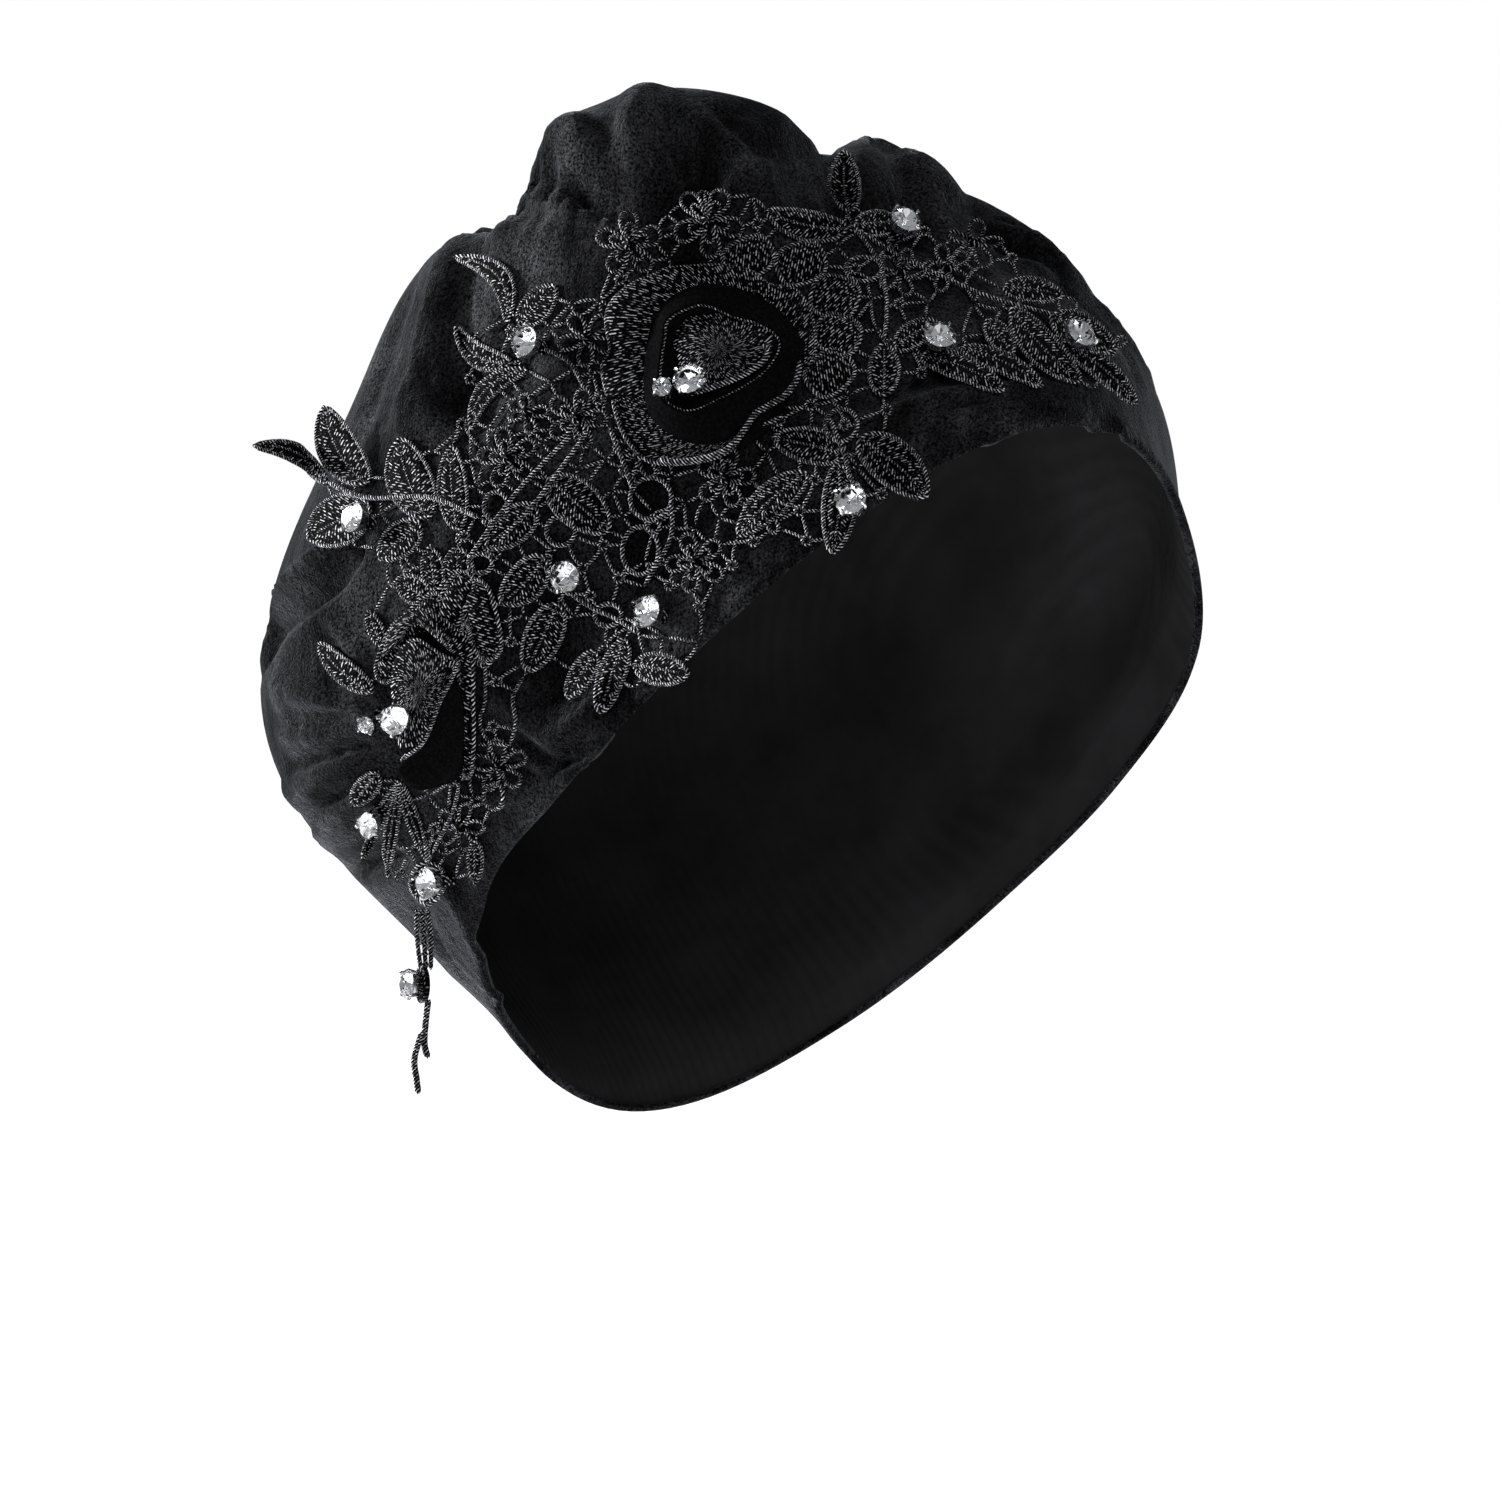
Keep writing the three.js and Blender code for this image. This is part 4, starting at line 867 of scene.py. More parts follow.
# Stems and single cords: radius, then chart points.
STEMS = [
    (0.6, ((-44.5, -54), (-44.5, -64), (-51, -76))), (0.6, ((-87.5, -65), (-77.5, -54), (-65, -37))),
    (0.6, ((-95, -69), (-82.5, -52), (-69, -38))), (0.5, ((-91, -94), (-90.5, -104), (-92, -109),
    (-90, -114), (-84.5, -115))),
    (0.5, ((-84.5, -115), (-83, -110), (-84, -104), (-81, -98))),
    (0.55, ((-98, -95), (-102.5, -104), (-106, -113), (-112, -119))),
    (0.6, ((2.5, 12), (14, 5), (34, -4), (52, -9))), (0.6, ((0, 14), (7, 4), (9, -6), (8.5, -15))),
    (0.6, ((-5, -34), (-1, -43), (0, -50))), (0.7, ((-130, -50), (-120, -54), (-104, -54), (-92, -59))),
    (0.6, ((-60, -36), (-56, -46), (-54, -52))), (0.55, ((-75, -73), (-66, -80), (-58, -84), (-52, -88))),
    (0.5, ((-112, -124), (-107, -134), (-105, -144))), (0.5, ((-97, -124), (-99, -132), (-104, -142))),
    (0.5, ((-78, -16), (-70, -20), (-66, -27))),
]

# The stretch that the net of bars fills, round the motifs.
NET_EDGE = [
    (-62, 14), (-52, 17), (-40, 23), (-28, 23), (-12, 19), (13, 18), (34, 14), (52, 0), (70, -17), (72, -30),
    (52, -25), (38, -28), (20, -22), (12, -30), (18, -52), (2, -54), (-4, -67), (-22, -64), (-32, -79),
    (-40, -98), (-62, -107), (-72, -94), (-82, -99), (-87, -89), (-87, -114), (-80, -119), (-88, -127),
    (-91, -148), (-102, -154), (-115, -149), (-118, -130), (-112, -122), (-115, -80), (-116, -69),
    (-134, -64), (-130, -50), (-112, -47), (-100, -40), (-95, -30), (-98, -12), (-87, -12), (-72, -5),
    (-62, 0),
]
NET_TRIES = 9000
NET_MARGIN = 1.9
NET_SPACING = 6.4
NET_LINK = 10
NET_RADIUS = 0.42
# Least turn, in radians, between two bars of a knot, and the most bars that one knot has.
BAR_SPREAD = 0.85
BARS_AT_KNOT = 4
RING_SHARE = 0.4
RING_RADIUS = 1.2


def inside_loop(points, loop):
    """Whether each chart point lies inside a closed chart loop."""
    inside = np.zeros(len(points), bool)
    for (x0, y0), (x1, y1) in zip(loop, np.roll(loop, -1, 0)):
        crosses = (y0 > points[:, 1]) != (y1 > points[:, 1])
        rise = y1 - y0 if y1 != y0 else 1e-9
        inside ^= crosses & (points[:, 0] < (x1 - x0) * (points[:, 1] - y0) / rise + x0)
    return inside


def net_knots(solid_loops, open_loops):
    """Knots scattered over the gaps between the motifs, an even distance apart."""
    edge = np.array(NET_EDGE, float)
    low, high = edge.min(0), edge.max(0)
    spots = np.array([[chance.uniform(low[k], high[k]) for k in (0, 1)] for turn in range(NET_TRIES)])
    spots = spots[inside_loop(spots, edge)]
    for loop in solid_loops:
        spots = spots[~inside_loop(spots, loop)]
    rims = np.vstack(solid_loops + open_loops)
    spots = [spot for spot in spots if np.linalg.norm(rims - spot, axis=1).min() > NET_MARGIN]
    knots = []
    for spot in spots:
        if not knots or np.linalg.norm(np.array(knots) - spot, axis=1).min() > NET_SPACING:
            knots.append(spot)
    return np.array(knots)


def make_net(cords, solid_loops, open_loops):
    """Bars from knot to knot and from the knots to the motifs round them, with a ring at some knots."""
    knots = net_knots(solid_loops, open_loops)
    loops = solid_loops + open_loops
    made = set()
    for index, knot in enumerate(knots):
        ends = []
        for other, spot in enumerate(knots):
            apart = math.dist(knot, spot)
            if other != index and apart < NET_LINK:
                ends.append((apart, tuple(spot), (min(index, other), max(index, other))))
        for number, loop in enumerate(loops):
            away = np.linalg.norm(loop - knot, axis=1)
            nearest = int(away.argmin())
            if away[nearest] < NET_LINK * 0.9:
                ends.append((away[nearest] * 0.8, tuple(loop[nearest]), (index, -1 - number)))
        taken = []
        for apart, spot, key in sorted(ends):
            heading_angle = math.atan2(spot[1] - knot[1], spot[0] - knot[0])
            turns = [abs((heading_angle - other + math.pi) % (2 * math.pi) - math.pi) for other in taken]
            if any(turn < BAR_SPREAD for turn in turns):
                continue
            taken.append(heading_angle)
            if key not in made:
                made.add(key)
                make_bar(cords, knot, spot, NET_RADIUS)
            if len(taken) == BARS_AT_KNOT:
                break
        if chance.random() < RING_SHARE:
            turn = np.linspace(0, 2 * math.pi, 10)
            ring = np.stack([knot[0] + RING_RADIUS * np.cos(turn), knot[1] + RING_RADIUS * np.sin(turn)], -1)
            cord(cords, ring, NET_RADIUS, 0.4, 5)


def make_bar(cords, start, end, radius):
    start, end = np.array(start), np.array(end)
    length = math.dist(start, end)
    bow = chance.uniform(-0.08, 0.08) * length
    t = np.linspace(0, 1, max(4, round(length / 1.4)))[:, None]
    across = np.array([start[1] - end[1], end[0] - start[0]]) / length
    cord(cords, start + (end - start) * t + 4 * t * (1 - t) * bow * across, radius, 0.3, 5)


def link_motifs(cords, loops, reach=4.6):
    """Short bars between motifs that lie close, where they come nearest."""
    for first in range(len(loops)):
        for second in range(first + 1, len(loops)):
            apart = np.linalg.norm(loops[first][:, None] - loops[second][None], axis=2)
            i, j = np.unravel_index(apart.argmin(), apart.shape)
            if 0.9 < apart[i, j] < reach:
                make_bar(cords, loops[first][i], loops[second][j], 0.42)


def closed_ring(a, b, across, upward, steps=24):
    turn = np.linspace(0, 2 * math.pi, steps + 1)
    return np.stack([a + across * np.cos(turn), b + upward * np.sin(turn)], -1)


def finish_thread(name, bm, node, wall=None, material=None):
    bmesh.ops.remove_doubles(bm, verts=bm.verts, dist=0.004 * MM)
    if wall is None:
        bmesh.ops.recalc_face_normals(bm, faces=bm.faces)
    piece = new_piece(name, bm, material or thread)
    if wall is not None:
        solid = piece.modifiers.new("thickness", "SOLIDIFY")
        solid.thickness = wall * MM
        solid.offset = -1
    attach(piece, "root")
    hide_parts(node)
    return piece


def make_lace():
    blades, petals, cords, flowers, net = (bmesh.new() for turn in range(5))
    solid_loops = [make_leaf(blades, cords, leaf) for leaf in LEAVES]
    solid_loops += [make_petal(petals, cords, petal) for petal in PETALS]
    open_loops = []
    for flower in FLOWERS:
        open_loops += make_flower(flowers, flower)
        make_knot(petals, flower[0], flower[1], 0.16 * flower[2], 1.2)
    for a, b, across, upward in RINGS:
        ring = closed_ring(a, b, across, upward)
        cord(cords, ring, 0.6, 0.4)
        open_loops.append(ring)
    for radius, points in STEMS:
        stem = smooth_path(points, 1.2)
        cord(cords, stem, radius, 0.5)
        open_loops.append(stem)
    for rose in ROSES.values():
        for outer, inner, *_ in rose["satin_wraps"]:
            solid_loops.append(np.vstack([smooth_path(outer, 1.1), smooth_path(inner, 1.1)[::-1]]))
        solid_loops.append(closed_ring(*rose["ground"][0]))
    make_net(net, solid_loops, open_loops)
    link_motifs(net, solid_loops + open_loops)
    finish_thread("lace_leaves", blades, "lace_applique", 0.7, satin)
    finish_thread("lace_petals", petals, "lace_applique", 0.7, satin)
    finish_thread("lace_cords", cords, "lace_applique")
    finish_thread("lace_flowers", flowers, "lace_applique")
    finish_thread("lace_net", net, "lace_applique")


# Roses, laid out as they show. A wrap is a strip from its outer path to its inner one, with the
# heights of the outer edge, the belly and the inner edge, and the radius of the cord on that edge.
# A dome fills a closed path, with the heights of its edge and of its middle.
ROSES = {
    "rose_main": {
        "ground": ((-33, -20.5, 19, 21.5), 0.9, 1.6),
        "cloth_wraps": [
            (((-49.5, -13), (-46, -5), (-38, -0.5), (-29, -1), (-20, -5), (-13, -13), (-12, -22), (-16, -29),
              (-24, -34), (-31, -39.5), (-40, -40), (-49, -34), (-51, -24)),
             ((-46.3, -13.7), (-45.5, -9.5), (-41, -6.6), (-36, -5.6), (-29, -8.5), (-22.5, -10.5),
              (-18, -13.8), (-18, -17.5), (-21.3, -22.3), (-26.3, -25.8), (-32.5, -29), (-40, -32),
              (-46, -29.5),
              (-47.5, -24)),
             True, 1.4, 3.4, 5.4, 0.32),
        ],
        "bowl": (((-46.3, -13.7), (-45.5, -9.5), (-41, -6.6), (-36, -5.6), (-29, -8.5), (-22.5, -10.5),
                  (-18, -13.8), (-18, -17.5), (-21.3, -22.3), (-26.3, -25.8), (-32.5, -29), (-40, -32),
                  (-46, -29.5), (-47.5, -24)), 5.3, 2.6),
        "satin_wraps": [
            (((-59.5, -29), (-57, -37), (-52, -43.5), (-46, -45.3), (-37, -44.5), (-31, -42.5), (-27, -39)),
             ((-49, -27.5), (-47, -31), (-42.5, -35), (-36.5, -38.3), (-30.5, -38.8), (-28.5, -37),
              (-26.5, -34.5)),
             False, 1.0, 2.2, 1.9, 0.2),
            (((-60.5, -29), (-62, -21), (-60, -17), (-61, -9), (-59, -4), (-54, 0), (-49.5, 1.8),
              (-45.5, 3.6), (-39, 4.2), (-32, 4.4), (-25.5, 3.2), (-20, -0.5), (-14, -1.5), (-10.5, -6),
              (-9, -11.5),
              (-8.8, -17), (-10.5, -21)),
             ((-48.8, -27), (-50.3, -21), (-50.6, -15), (-49.5, -10), (-46.5, -6), (-42, -3), (-37, -1.6),
              (-32, -1.8), (-27, -3.2), (-23, -5.4), (-19, -9), (-16.5, -13), (-15, -17), (-13, -20.5)),
             False, 0.4, 1.9, 1.3, 0.3),
        ],
        "petal": (((-38.5, -27.3), (-32, -25), (-27, -23), (-22.3, -20), (-20, -16.8), (-19.2, -14),
                   (-22, -11.6), (-26.3, -9.6), (-31, -8.4), (-36.5, -8), (-41, -9.6), (-43.4, -13.4),
                   (-43.4, -18.5),
                   (-41.4, -23.5)), 4.5, 6.9),
        "cords": [
            (0.8, 6.0, ((-39, -27.4), (-32, -25.2), (-27, -23.1), (-22.4, -20.2), (-20.4, -17),
                        (-22.6, -15.6))),
            (0.3, 3.8, ((-42, -15.5), (-40.5, -18), (-37.5, -18.8))),
            (0.85, 2.2, ((-12.6, -19), (-13.4, -24), (-16.2, -28), (-20.5, -30.7), (-23.8, -32.8), (-26, -36),
                         (-28.6, -39.6), (-32, -42.3), (-37.5, -44), (-43, -44.8), (-48, -44))),
            (0.6, 1.6, ((-22, -35.6), (-18.8, -34.3), (-16.8, -32.8))),
        ],
    },
    "rose_side": {
        "ground": ((-105.5, -104, 8.5, 17), 0.9, 1.6),
        "cloth_wraps": [],
        "bowl": (((-98.8, -99.3), (-97.2, -104.3), (-97, -114.3), (-97.7, -123), (-102.5, -125.8),
                  (-108.8, -126.6), (-113, -121.8), (-106.3, -116.3), (-102.5, -108), (-100, -101.8)),
                  3.2, 1.8),
        "satin_wraps": [
            (((-117, -94.5), (-114.5, -87), (-110, -82.3), (-105, -82.3), (-100, -85.5), (-95, -89.3),
              (-92.6, -94.3)),
             ((-112.5, -89.5), (-110, -85.8), (-107.5, -84.8), (-105, -86.8), (-101.5, -90.3), (-98, -93)),
             False, 1.2, 2.8, 2.6, 0.3),
        ],
        "petal": (((-98.2, -94.4), (-102, -93), (-105, -91.2), (-108, -89.7), (-111.5, -90.7),
                   (-113.5, -94.3), (-114.3, -99.3), (-114, -104.3), (-113.4, -109.8), (-112.4, -115.5),
                   (-109.4, -116.3), (-106.4, -113.8), (-104.4, -109.8), (-102.2, -104.3), (-100, -99.2)),
                   3.4, 4.6),
        "cords": [
            (0.5, 4.2, ((-97.6, -94.5), (-100, -100), (-102.5, -104.8), (-105, -111.6), (-107.6, -116),
                        (-112.5, -119.3))),
            (0.4, 4.0, ((-111, -90), (-108, -89.2), (-105, -91), (-102, -92.9), (-98.2, -94.4))),
        ],
    },
}


def make_wrap(blades, cords, outer, inner, closed, low, belly, lip, radius):
    outer, inner = smooth_path(outer, 1.1, closed), smooth_path(inner, 1.1, closed)
    share_out = np.linspace(0, 1, len(outer))
    share_in = np.linspace(0, 1, len(inner))

    def edge(path, shares, u):
        return np.stack([np.interp(u, shares, path[:, k]) for k in (0, 1)], -1)

    def height_at(u, v):
        ends = 1 if closed else np.sin(math.pi * np.clip(u * 0.9 + 0.05, 0, 1)) ** 0.35
        rise = low + (lip - low) * v + (belly - (low + lip) / 2) * 4 * v * (1 - v) * 0.8
        return low + (rise - low) * ends

    def place(u, v):
        spot = edge(outer, share_out, u) * (1 - v)[:, None] + edge(inner, share_in, u) * v[:, None]
        return shown(spot[:, 0], spot[:, 1], height_at(u, v))

    length = np.linalg.norm(np.diff(outer, axis=0), axis=1).sum()
    width = np.linalg.norm(outer[len(outer) // 2] - inner[len(inner) // 2])
    woven_grid(blades, 9, len(outer), place, length * MM, width * 1.3 * MM)
    raised_cord(cords, inner, radius, height_at(share_in, np.ones(len(inner))))
    if not closed:
        raised_cord(cords, outer, 0.5, 0.4 + height_at(share_out, np.zeros(len(outer))))
    return np.vstack([outer, inner[::-1]])


def raised_cord(bm, path, radius, height):
    """A cord that shows along a chart path, at a height in mm."""
    a, b = path[:, 0], path[:, 1]
    tube(bm, shown(a, b, height), drape_normal(a, b), radius * MM, 6)


def make_dome(blades, outline, low, crest, rings):
    """A domed or hollow patch inside a closed chart path, with its threads towards the middle."""
    path = smooth_path(outline, 1.1, closed=True)
    shares = np.linspace(0, 1, len(path))
    middle = path[:-1].mean(0)
    length = np.linalg.norm(np.diff(path, axis=0), axis=1).sum()

    def place(u, v):
        edge = np.stack([np.interp(u, shares, path[:, k]) for k in (0, 1)], -1)
        spot = middle + (edge - middle) * v[:, None]
        return shown(spot[:, 0], spot[:, 1], low + (crest - low) * (1 - v ** 2) ** 0.8)

    woven_grid(blades, rings, len(path) - 1, place, length * MM, length / 6 * MM)


def make_rose(name):
    cloth, blades, cords = bmesh.new(), bmesh.new(), bmesh.new()
    rose = ROSES[name]
    (a, b, across, upward), low, crest = rose["ground"]
    make_dome(cloth, closed_ring(a, b, across, upward, 16)[:-1], low, crest, 10)
    for wrap in rose["cloth_wraps"]:
        make_wrap(cloth, cords, *wrap)
    make_dome(cloth, *rose["bowl"], 8)
    for wrap in rose["satin_wraps"]:
        make_wrap(blades, cords, *wrap)
    make_dome(blades, *rose["petal"], 10)
    for radius, height, points in rose["cords"]:
        raised_cord(cords, smooth_path(points, 1.0), radius, height)
    finish_thread(name + "_petals", blades, name, 0.7, satin)
    finish_thread(name + "_cords", cords, name)
    finish_thread(name + "_cloth", cloth, name, 0.7, rose_cloth)


# Stones: cut and turn of each, in the order of their numbers.
CUTS = {
    "round": {"width": 3.85, "back": 3.85, "tip": 3.85, "sharp": 2, "claw": 45},
    "chip": {"width": 2.3, "back": 2.3, "tip": 2.3, "sharp": 2, "claw": 45},
    "pear": {"width": 3.6, "back": 3.9, "tip": 5.2, "sharp": 1.5, "claw": 50},
    "marquise": {"width": 2.6, "back": 5.3, "tip": 5.3, "sharp": 1.4, "claw": 68},
}
STONES = [
    ("round", 0), ("round", 10), ("round", 20), ("round", 30), ("round", 15), ("round", 0), ("round", 25),
    ("round", 5), ("round", 35), ("chip", 0), ("pear", 10), ("chip", 0), ("pear", 40), ("marquise", 82),
    ("round", 0),
]
# Facet rings from the culet to the table: share of the outline, height in mm, corners, half turn.
FACET_RINGS = [
    (0.02, 1.1, 8, 0), (0.62, 2.35, 8, 0.5), (1.0, 3.3, 16, 0), (1.0, 3.6, 16, 0), (0.83, 4.35, 8, 0.5),
    (0.55, 4.95, 8, 0),
]


def cut_radius(cut, angle):
    length = cut["tip"] if math.cos(angle) > 0 else cut["back"]
    power = cut["sharp"]
    if math.cos(angle) <= 0:
        power = min(power + (0.5 if cut["back"] < cut["tip"] else 0), 2)
    along = abs(math.cos(angle) / length) ** power
    across = abs(math.sin(angle) / cut["width"]) ** power
    return (along + across) ** (-1 / power)


def stone_frame(number, turn):
    """The place of a stone: its axis off the crown, and the foot of its setting."""
    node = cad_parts[f"crystal_{number}"]
    corners = node.data
    flats = {}
    for polygon in corners.polygons:
        key = tuple(round(value, 1) for value in polygon.normal)
        flats.setdefault(key, []).append(polygon)
    table = max(flats.values(), key=lambda faces: sum(face.area for face in faces))
    area = sum(face.area for face in table)
    axis = sum((face.normal * face.area for face in table), Vector()).normalized()
    middle = sum((face.center * face.area for face in table), Vector()) / area
    right = Vector(CHART_RIGHT)
    right = (right - axis * right.dot(axis)).normalized()
    basis = Matrix([right, axis.cross(right), axis]).transposed().to_4x4()
    return Matrix.Translation(middle - axis * 5 * MM) @ basis @ Matrix.Rotation(math.radians(turn), 4, "Z")


def make_stone(number, kind, turn):
    cut = CUTS[kind]
    place = stone_frame(number, turn)
    bm = bmesh.new()
    for share, height, corners, half in FACET_RINGS:
        for corner in range(corners):
            angle = 2 * math.pi * (corner + half + (0.5 if corners == 16 else 0)) / corners
            reach = cut_radius(cut, angle) * share
            spot = Vector((reach * math.cos(angle), reach * math.sin(angle), height)) * MM
            bmesh.ops.create_vert(bm, co=spot)
    hull = bmesh.ops.convex_hull(bm, input=bm.verts)
    bmesh.ops.delete(bm, geom=[item for item in hull["geom_interior"] if item.is_valid], context="VERTS")
    bmesh.ops.dissolve_limit(bm, angle_limit=math.radians(2), verts=bm.verts, edges=bm.edges)
    bmesh.ops.recalc_face_normals(bm, faces=bm.faces)
    for face in bm.faces:
        face.material_index = 1 if face.normal.z < -0.15 else 0
    bmesh.ops.transform(bm, matrix=place, verts=bm.verts)
    stone = new_piece(f"stone_{number}", bm, glass, foil)
    for polygon in stone.data.polygons:
        polygon.use_smooth = False
    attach(stone, "root")
    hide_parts(f"crystal_{number}")


# The cup's wall from its foot to its lip: share of the outline, and height in mm.
CUP_WALL = [(0.02, 0.1), (0.7, 0.1), (0.8, 0.6), (0.93, 1.9), (1.0, 2.9), (1.03, 3.2)]


def make_setting(number, kind, turn):
    cut = CUTS[kind]
    place = stone_frame(number, turn)
    bm = bmesh.new()

    def wall(u, v):
        row = np.rint(v * (len(CUP_WALL) - 1)).astype(int)
        angles = 2 * math.pi * u
        reach = np.array([cut_radius(cut, angle) for angle in angles])
        share = np.array([CUP_WALL[k][0] for k in row])
        height = np.array([CUP_WALL[k][1] for k in row])
        return np.stack([reach * share * np.cos(angles), reach * share * np.sin(angles), height], -1) * MM

    woven_grid(bm, len(CUP_WALL) - 1, 24, wall)
    bmesh.ops.remove_doubles(bm, verts=bm.verts, dist=0.004 * MM)
    bmesh.ops.recalc_face_normals(bm, faces=bm.faces)
    small = 0.7 if kind == "chip" else 1
    for side in (cut["claw"], 180 - cut["claw"], 180 + cut["claw"], 360 - cut["claw"]):
        angle = math.radians(side)
        reach = cut_radius(cut, angle)
        profile = [(reach * 0.75, 0.4), (reach * 0.98, 1.7), (reach + 0.3, 3.2), (reach + 0.3, 4.0),
                   (reach - 0.1, 4.55), (reach - 0.75 * small, 4.75)]
        centres = np.array([(r * math.cos(angle), r * math.sin(angle), z) for r, z in profile]) * MM
        upward = np.tile([-math.sin(angle), math.cos(angle), 0], (len(centres), 1))
        tube(bm, centres, upward, 0.42 * small * MM, 6)
    bmesh.ops.transform(bm, matrix=place, verts=bm.verts)
    setting = new_piece(f"claws_{number}", bm, silver)
    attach(setting, "root")
    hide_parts(f"setting_{number}")


# A seat of wound thread carries each setting on the velvet or the lace: radius, and longest reach in mm.
SEAT_RADIUS = {"chip": 1.2, "round": 1.9, "pear": 1.9, "marquise": 1.7}
SEAT_REACH = 4.4
# This one is sewn straight onto the pad of the tail.
TAIL_STONE = "15"


def make_seat(seats, number, kind, turn):
    place = stone_frame(number, turn)
    foot, axis, right = place.translation, place.col[2].to_3d(), place.col[0].to_3d()
    spot, normal, face, drop = crown_tree.ray_cast(foot, -axis, SEAT_REACH * MM)
    depth = (SEAT_REACH if drop is None else drop / MM) + 0.3
    levels = [0.3, 0.25, -0.5 * depth, 0.05 - depth, -depth]
    centres = np.array([foot + axis * level * MM for level in levels])
    tube(seats, centres, np.tile(np.array(right), (len(levels), 1)), SEAT_RADIUS[kind] * MM, 10)


# The tail: a strip of lace that hangs plumb in front of the crown, with a pad and two twigs.
TAIL_STRIP = ((-107, -156.4), (-106, -172))
TAIL_PAD = (-106, -175.3, 4.6)
TAIL_TWIGS = [
    ((-105.5, -179), (-106.2, -185), (-106.5, -190.5), (-105.5, -194)),
    ((-107, -187), (-109, -194), (-108.5, -199), (-108, -203)),
]


def make_tail():
    low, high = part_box("lace_tail")
    middle = (Vector(low) + Vector(high)) / 2
    reach = (np.array(middle) - EYE) @ -CHART_OUT

    def hanging(a, b, height=0.0):
        rays = chart_ray(a, b)
        along = reach / (rays @ -CHART_OUT) - height * MM
        return EYE + rays * along[..., None]

    blades, cords = bmesh.new(), bmesh.new()
    start, end = (np.array(spot) for spot in TAIL_STRIP)
    across = np.array([1.0, 0.06])

    def hung_cord(points, radius, lift=0.0, flat=0.9):
        path = smooth_path(points, 1.0)
        centres = hanging(path[:, 0], path[:, 1], lift)
        tube(cords, centres, np.tile(CHART_OUT, (len(centres), 1)), radius * MM, 6, flat)

    for side in (-1, 0, 1):
        hung_cord([tuple(start + across * 1.4 * side), tuple(start * 0.5 + end * 0.5 + across * (1.7 * side)),
                   tuple(end + across * 1.2 * side)], 0.6)
    for step in range(6):
        at = start + (end - start) * (step + 0.5) / 6
        hung_cord([tuple(at - across * 1.6), tuple(at + (0, 0.5)), tuple(at + across * 1.6)], 0.4, 0.3)
    a, b, radius = TAIL_PAD
    for twig in TAIL_TWIGS:
        hung_cord(twig, 0.7)
        hung_cord([tuple(np.array(spot) + (0.5, 0.2)) for spot in twig], 0.45, 0.4)

    def pad(u, v):
        angle = 2 * math.pi * u
        turned = math.radians(20)
        axis = -CHART_RIGHT * math.cos(turned) + CHART_OUT * math.sin(turned)
        side = np.cross(CHART_UP, axis)
        spot = radius * v[:, None] * (np.cos(angle)[:, None] * side + np.sin(angle)[:, None] * CHART_UP)
        return hanging(np.array([float(a)]),
                       np.array([float(b)])) + spot * MM + axis * (0.8 - 0.5 * v[:, None] ** 2) * MM

    woven_grid(blades, 5, 24, pad, 20 * MM, radius * MM)
    finish_thread("tail_pad", blades, "lace_tail", 1.2, satin)
    finish_thread("tail_cords", cords, "lace_tail")


crown_tree = BVHTree.FromPolygons(
    [vert.co.copy() for vert in crown.data.vertices], [tuple(face.vertices) for face in crown.data.polygons],
)
drape = make_drape()
make_lace()
for name in ROSES:
    make_rose(name)
make_tail()
seats = bmesh.new()
for index, (kind, turn) in enumerate(STONES):
    number = f"{index + 1:02d}"
    make_setting(number, kind, turn)
    make_stone(number, kind, turn)
    if number != TAIL_STONE:
        make_seat(seats, number, kind, turn)
finish_thread("stone_seats", seats, "lace_applique", material=satin)

# Light, floor and camera.
FLOOR_HEIGHT = -0.55


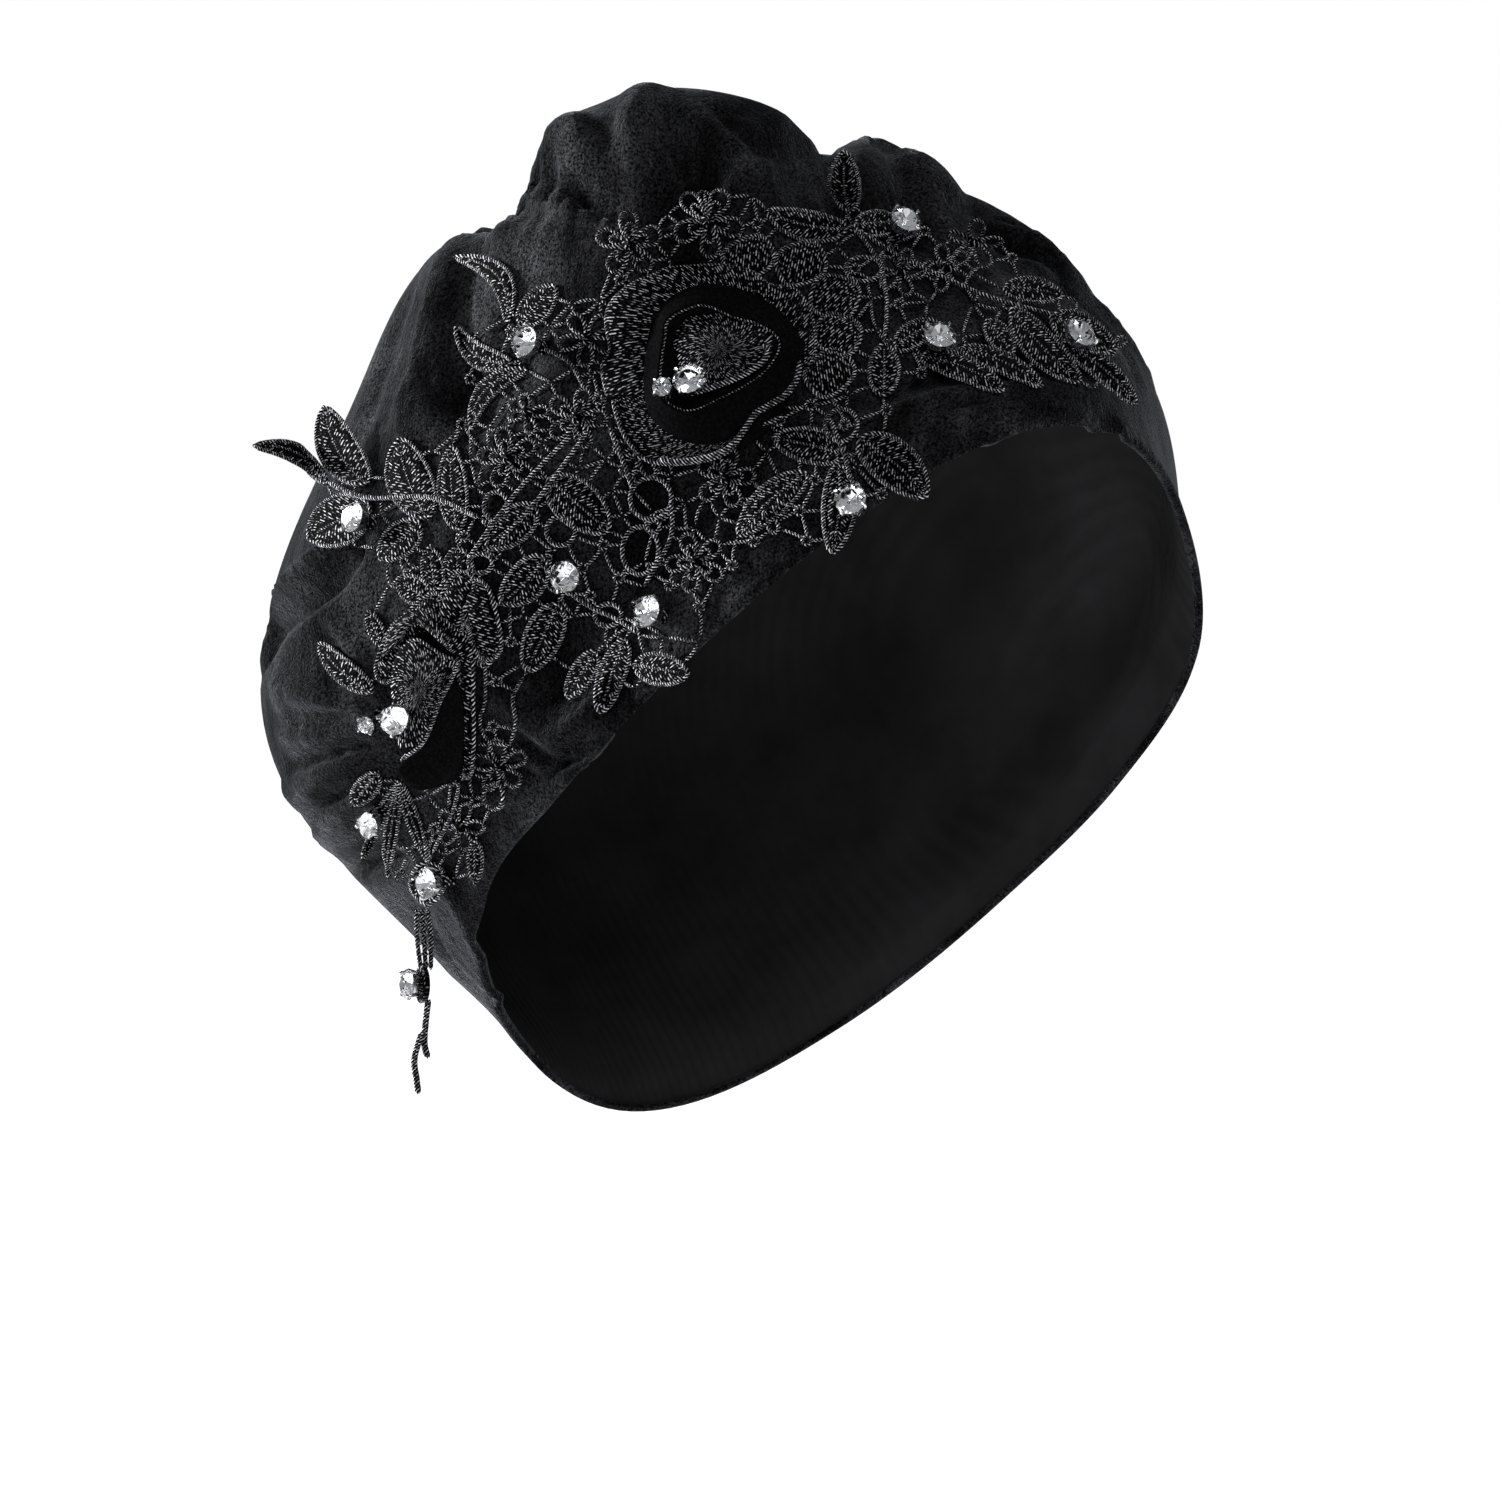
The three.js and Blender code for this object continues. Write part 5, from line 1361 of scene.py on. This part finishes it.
def make_stage():
    bm = bmesh.new()
    bmesh.ops.create_grid(bm, x_segments=1, y_segments=1, size=30,
                          matrix=Matrix.Translation((0, 0, FLOOR_HEIGHT)))
    material, nodes, links, shader = new_material("pale_floor")
    shader.inputs["Base Color"].default_value = (0.9, 0.9, 0.9, 1)
    shader.inputs["Roughness"].default_value = 0.9
    shader.inputs["Emission Color"].default_value = (1, 1, 1, 1)
    seen = nodes.new("ShaderNodeLightPath")
    glow = nodes.new("ShaderNodeMath")
    glow.operation = "MULTIPLY"
    glow.inputs[1].default_value = 1
    links.new(seen.outputs["Is Camera Ray"], glow.inputs[0])
    links.new(glow.outputs["Value"], shader.inputs["Emission Strength"])
    floor = new_piece("floor", bm, material)
    world = bpy.data.worlds.new("studio")
    bpy.context.scene.world = world
    world.use_nodes = True
    nodes, links = world.node_tree.nodes, world.node_tree.links
    room = nodes["Background"]
    room.inputs["Color"].default_value = (0.96, 0.98, 1, 1)
    room.inputs["Strength"].default_value = 0.09
    backdrop = nodes.new("ShaderNodeBackground")
    backdrop.inputs["Color"].default_value = (1, 1, 1, 1)
    backdrop.inputs["Strength"].default_value = 1
    light_path = nodes.new("ShaderNodeLightPath")
    chosen = nodes.new("ShaderNodeMixShader")
    through = nodes.new("ShaderNodeMath")
    through.operation = "MULTIPLY_ADD"
    through.inputs[1].default_value = 0.3
    links.new(light_path.outputs["Is Transmission Ray"], through.inputs[0])
    links.new(light_path.outputs["Is Camera Ray"], through.inputs[2])
    links.new(through.outputs["Value"], chosen.inputs["Fac"])
    links.new(room.outputs["Background"], chosen.inputs[1])
    links.new(backdrop.outputs["Background"], chosen.inputs[2])
    links.new(chosen.outputs["Shader"], nodes["World Output"].inputs["Surface"])
    bpy.context.scene.view_settings.view_transform = "Standard"


def soft_light(name, right, up, near, size, power):
    """A soft square lamp placed as seen by the photograph's eye, in metres from the aim, turned to it."""
    data = bpy.data.lights.new(name, "AREA")
    data.shape = "SQUARE"
    data.size = size
    data.energy = power
    lamp = bpy.data.objects.new(name, data)
    bpy.context.scene.collection.objects.link(lamp)
    place = Vector(AIM + CHART_RIGHT * right + CHART_UP * up + CHART_OUT * near)
    lamp.location = place
    lamp.rotation_euler = (Vector(AIM) - place).to_track_quat("-Z", "Y").to_euler()


def make_camera():
    data = bpy.data.cameras.new("photo_view")
    data.sensor_width = 36
    data.lens = 144
    data.clip_end = 50
    camera = bpy.data.objects.new("photo_view", data)
    bpy.context.scene.collection.objects.link(camera)
    matrix = Matrix([CHART_RIGHT, CHART_UP, CHART_OUT]).transposed().to_4x4()
    matrix.translation = Vector(EYE)
    camera.matrix_world = matrix
    bpy.context.scene.camera = camera


make_stage()
soft_light("key", right=-1.95, up=0.6, near=-0.5, size=0.35, power=135)
soft_light("fill", right=0.6, up=1.2, near=1.6, size=0.8, power=12)
soft_light("top", right=0.3, up=1.8, near=-0.5, size=0.6, power=24)
make_camera()
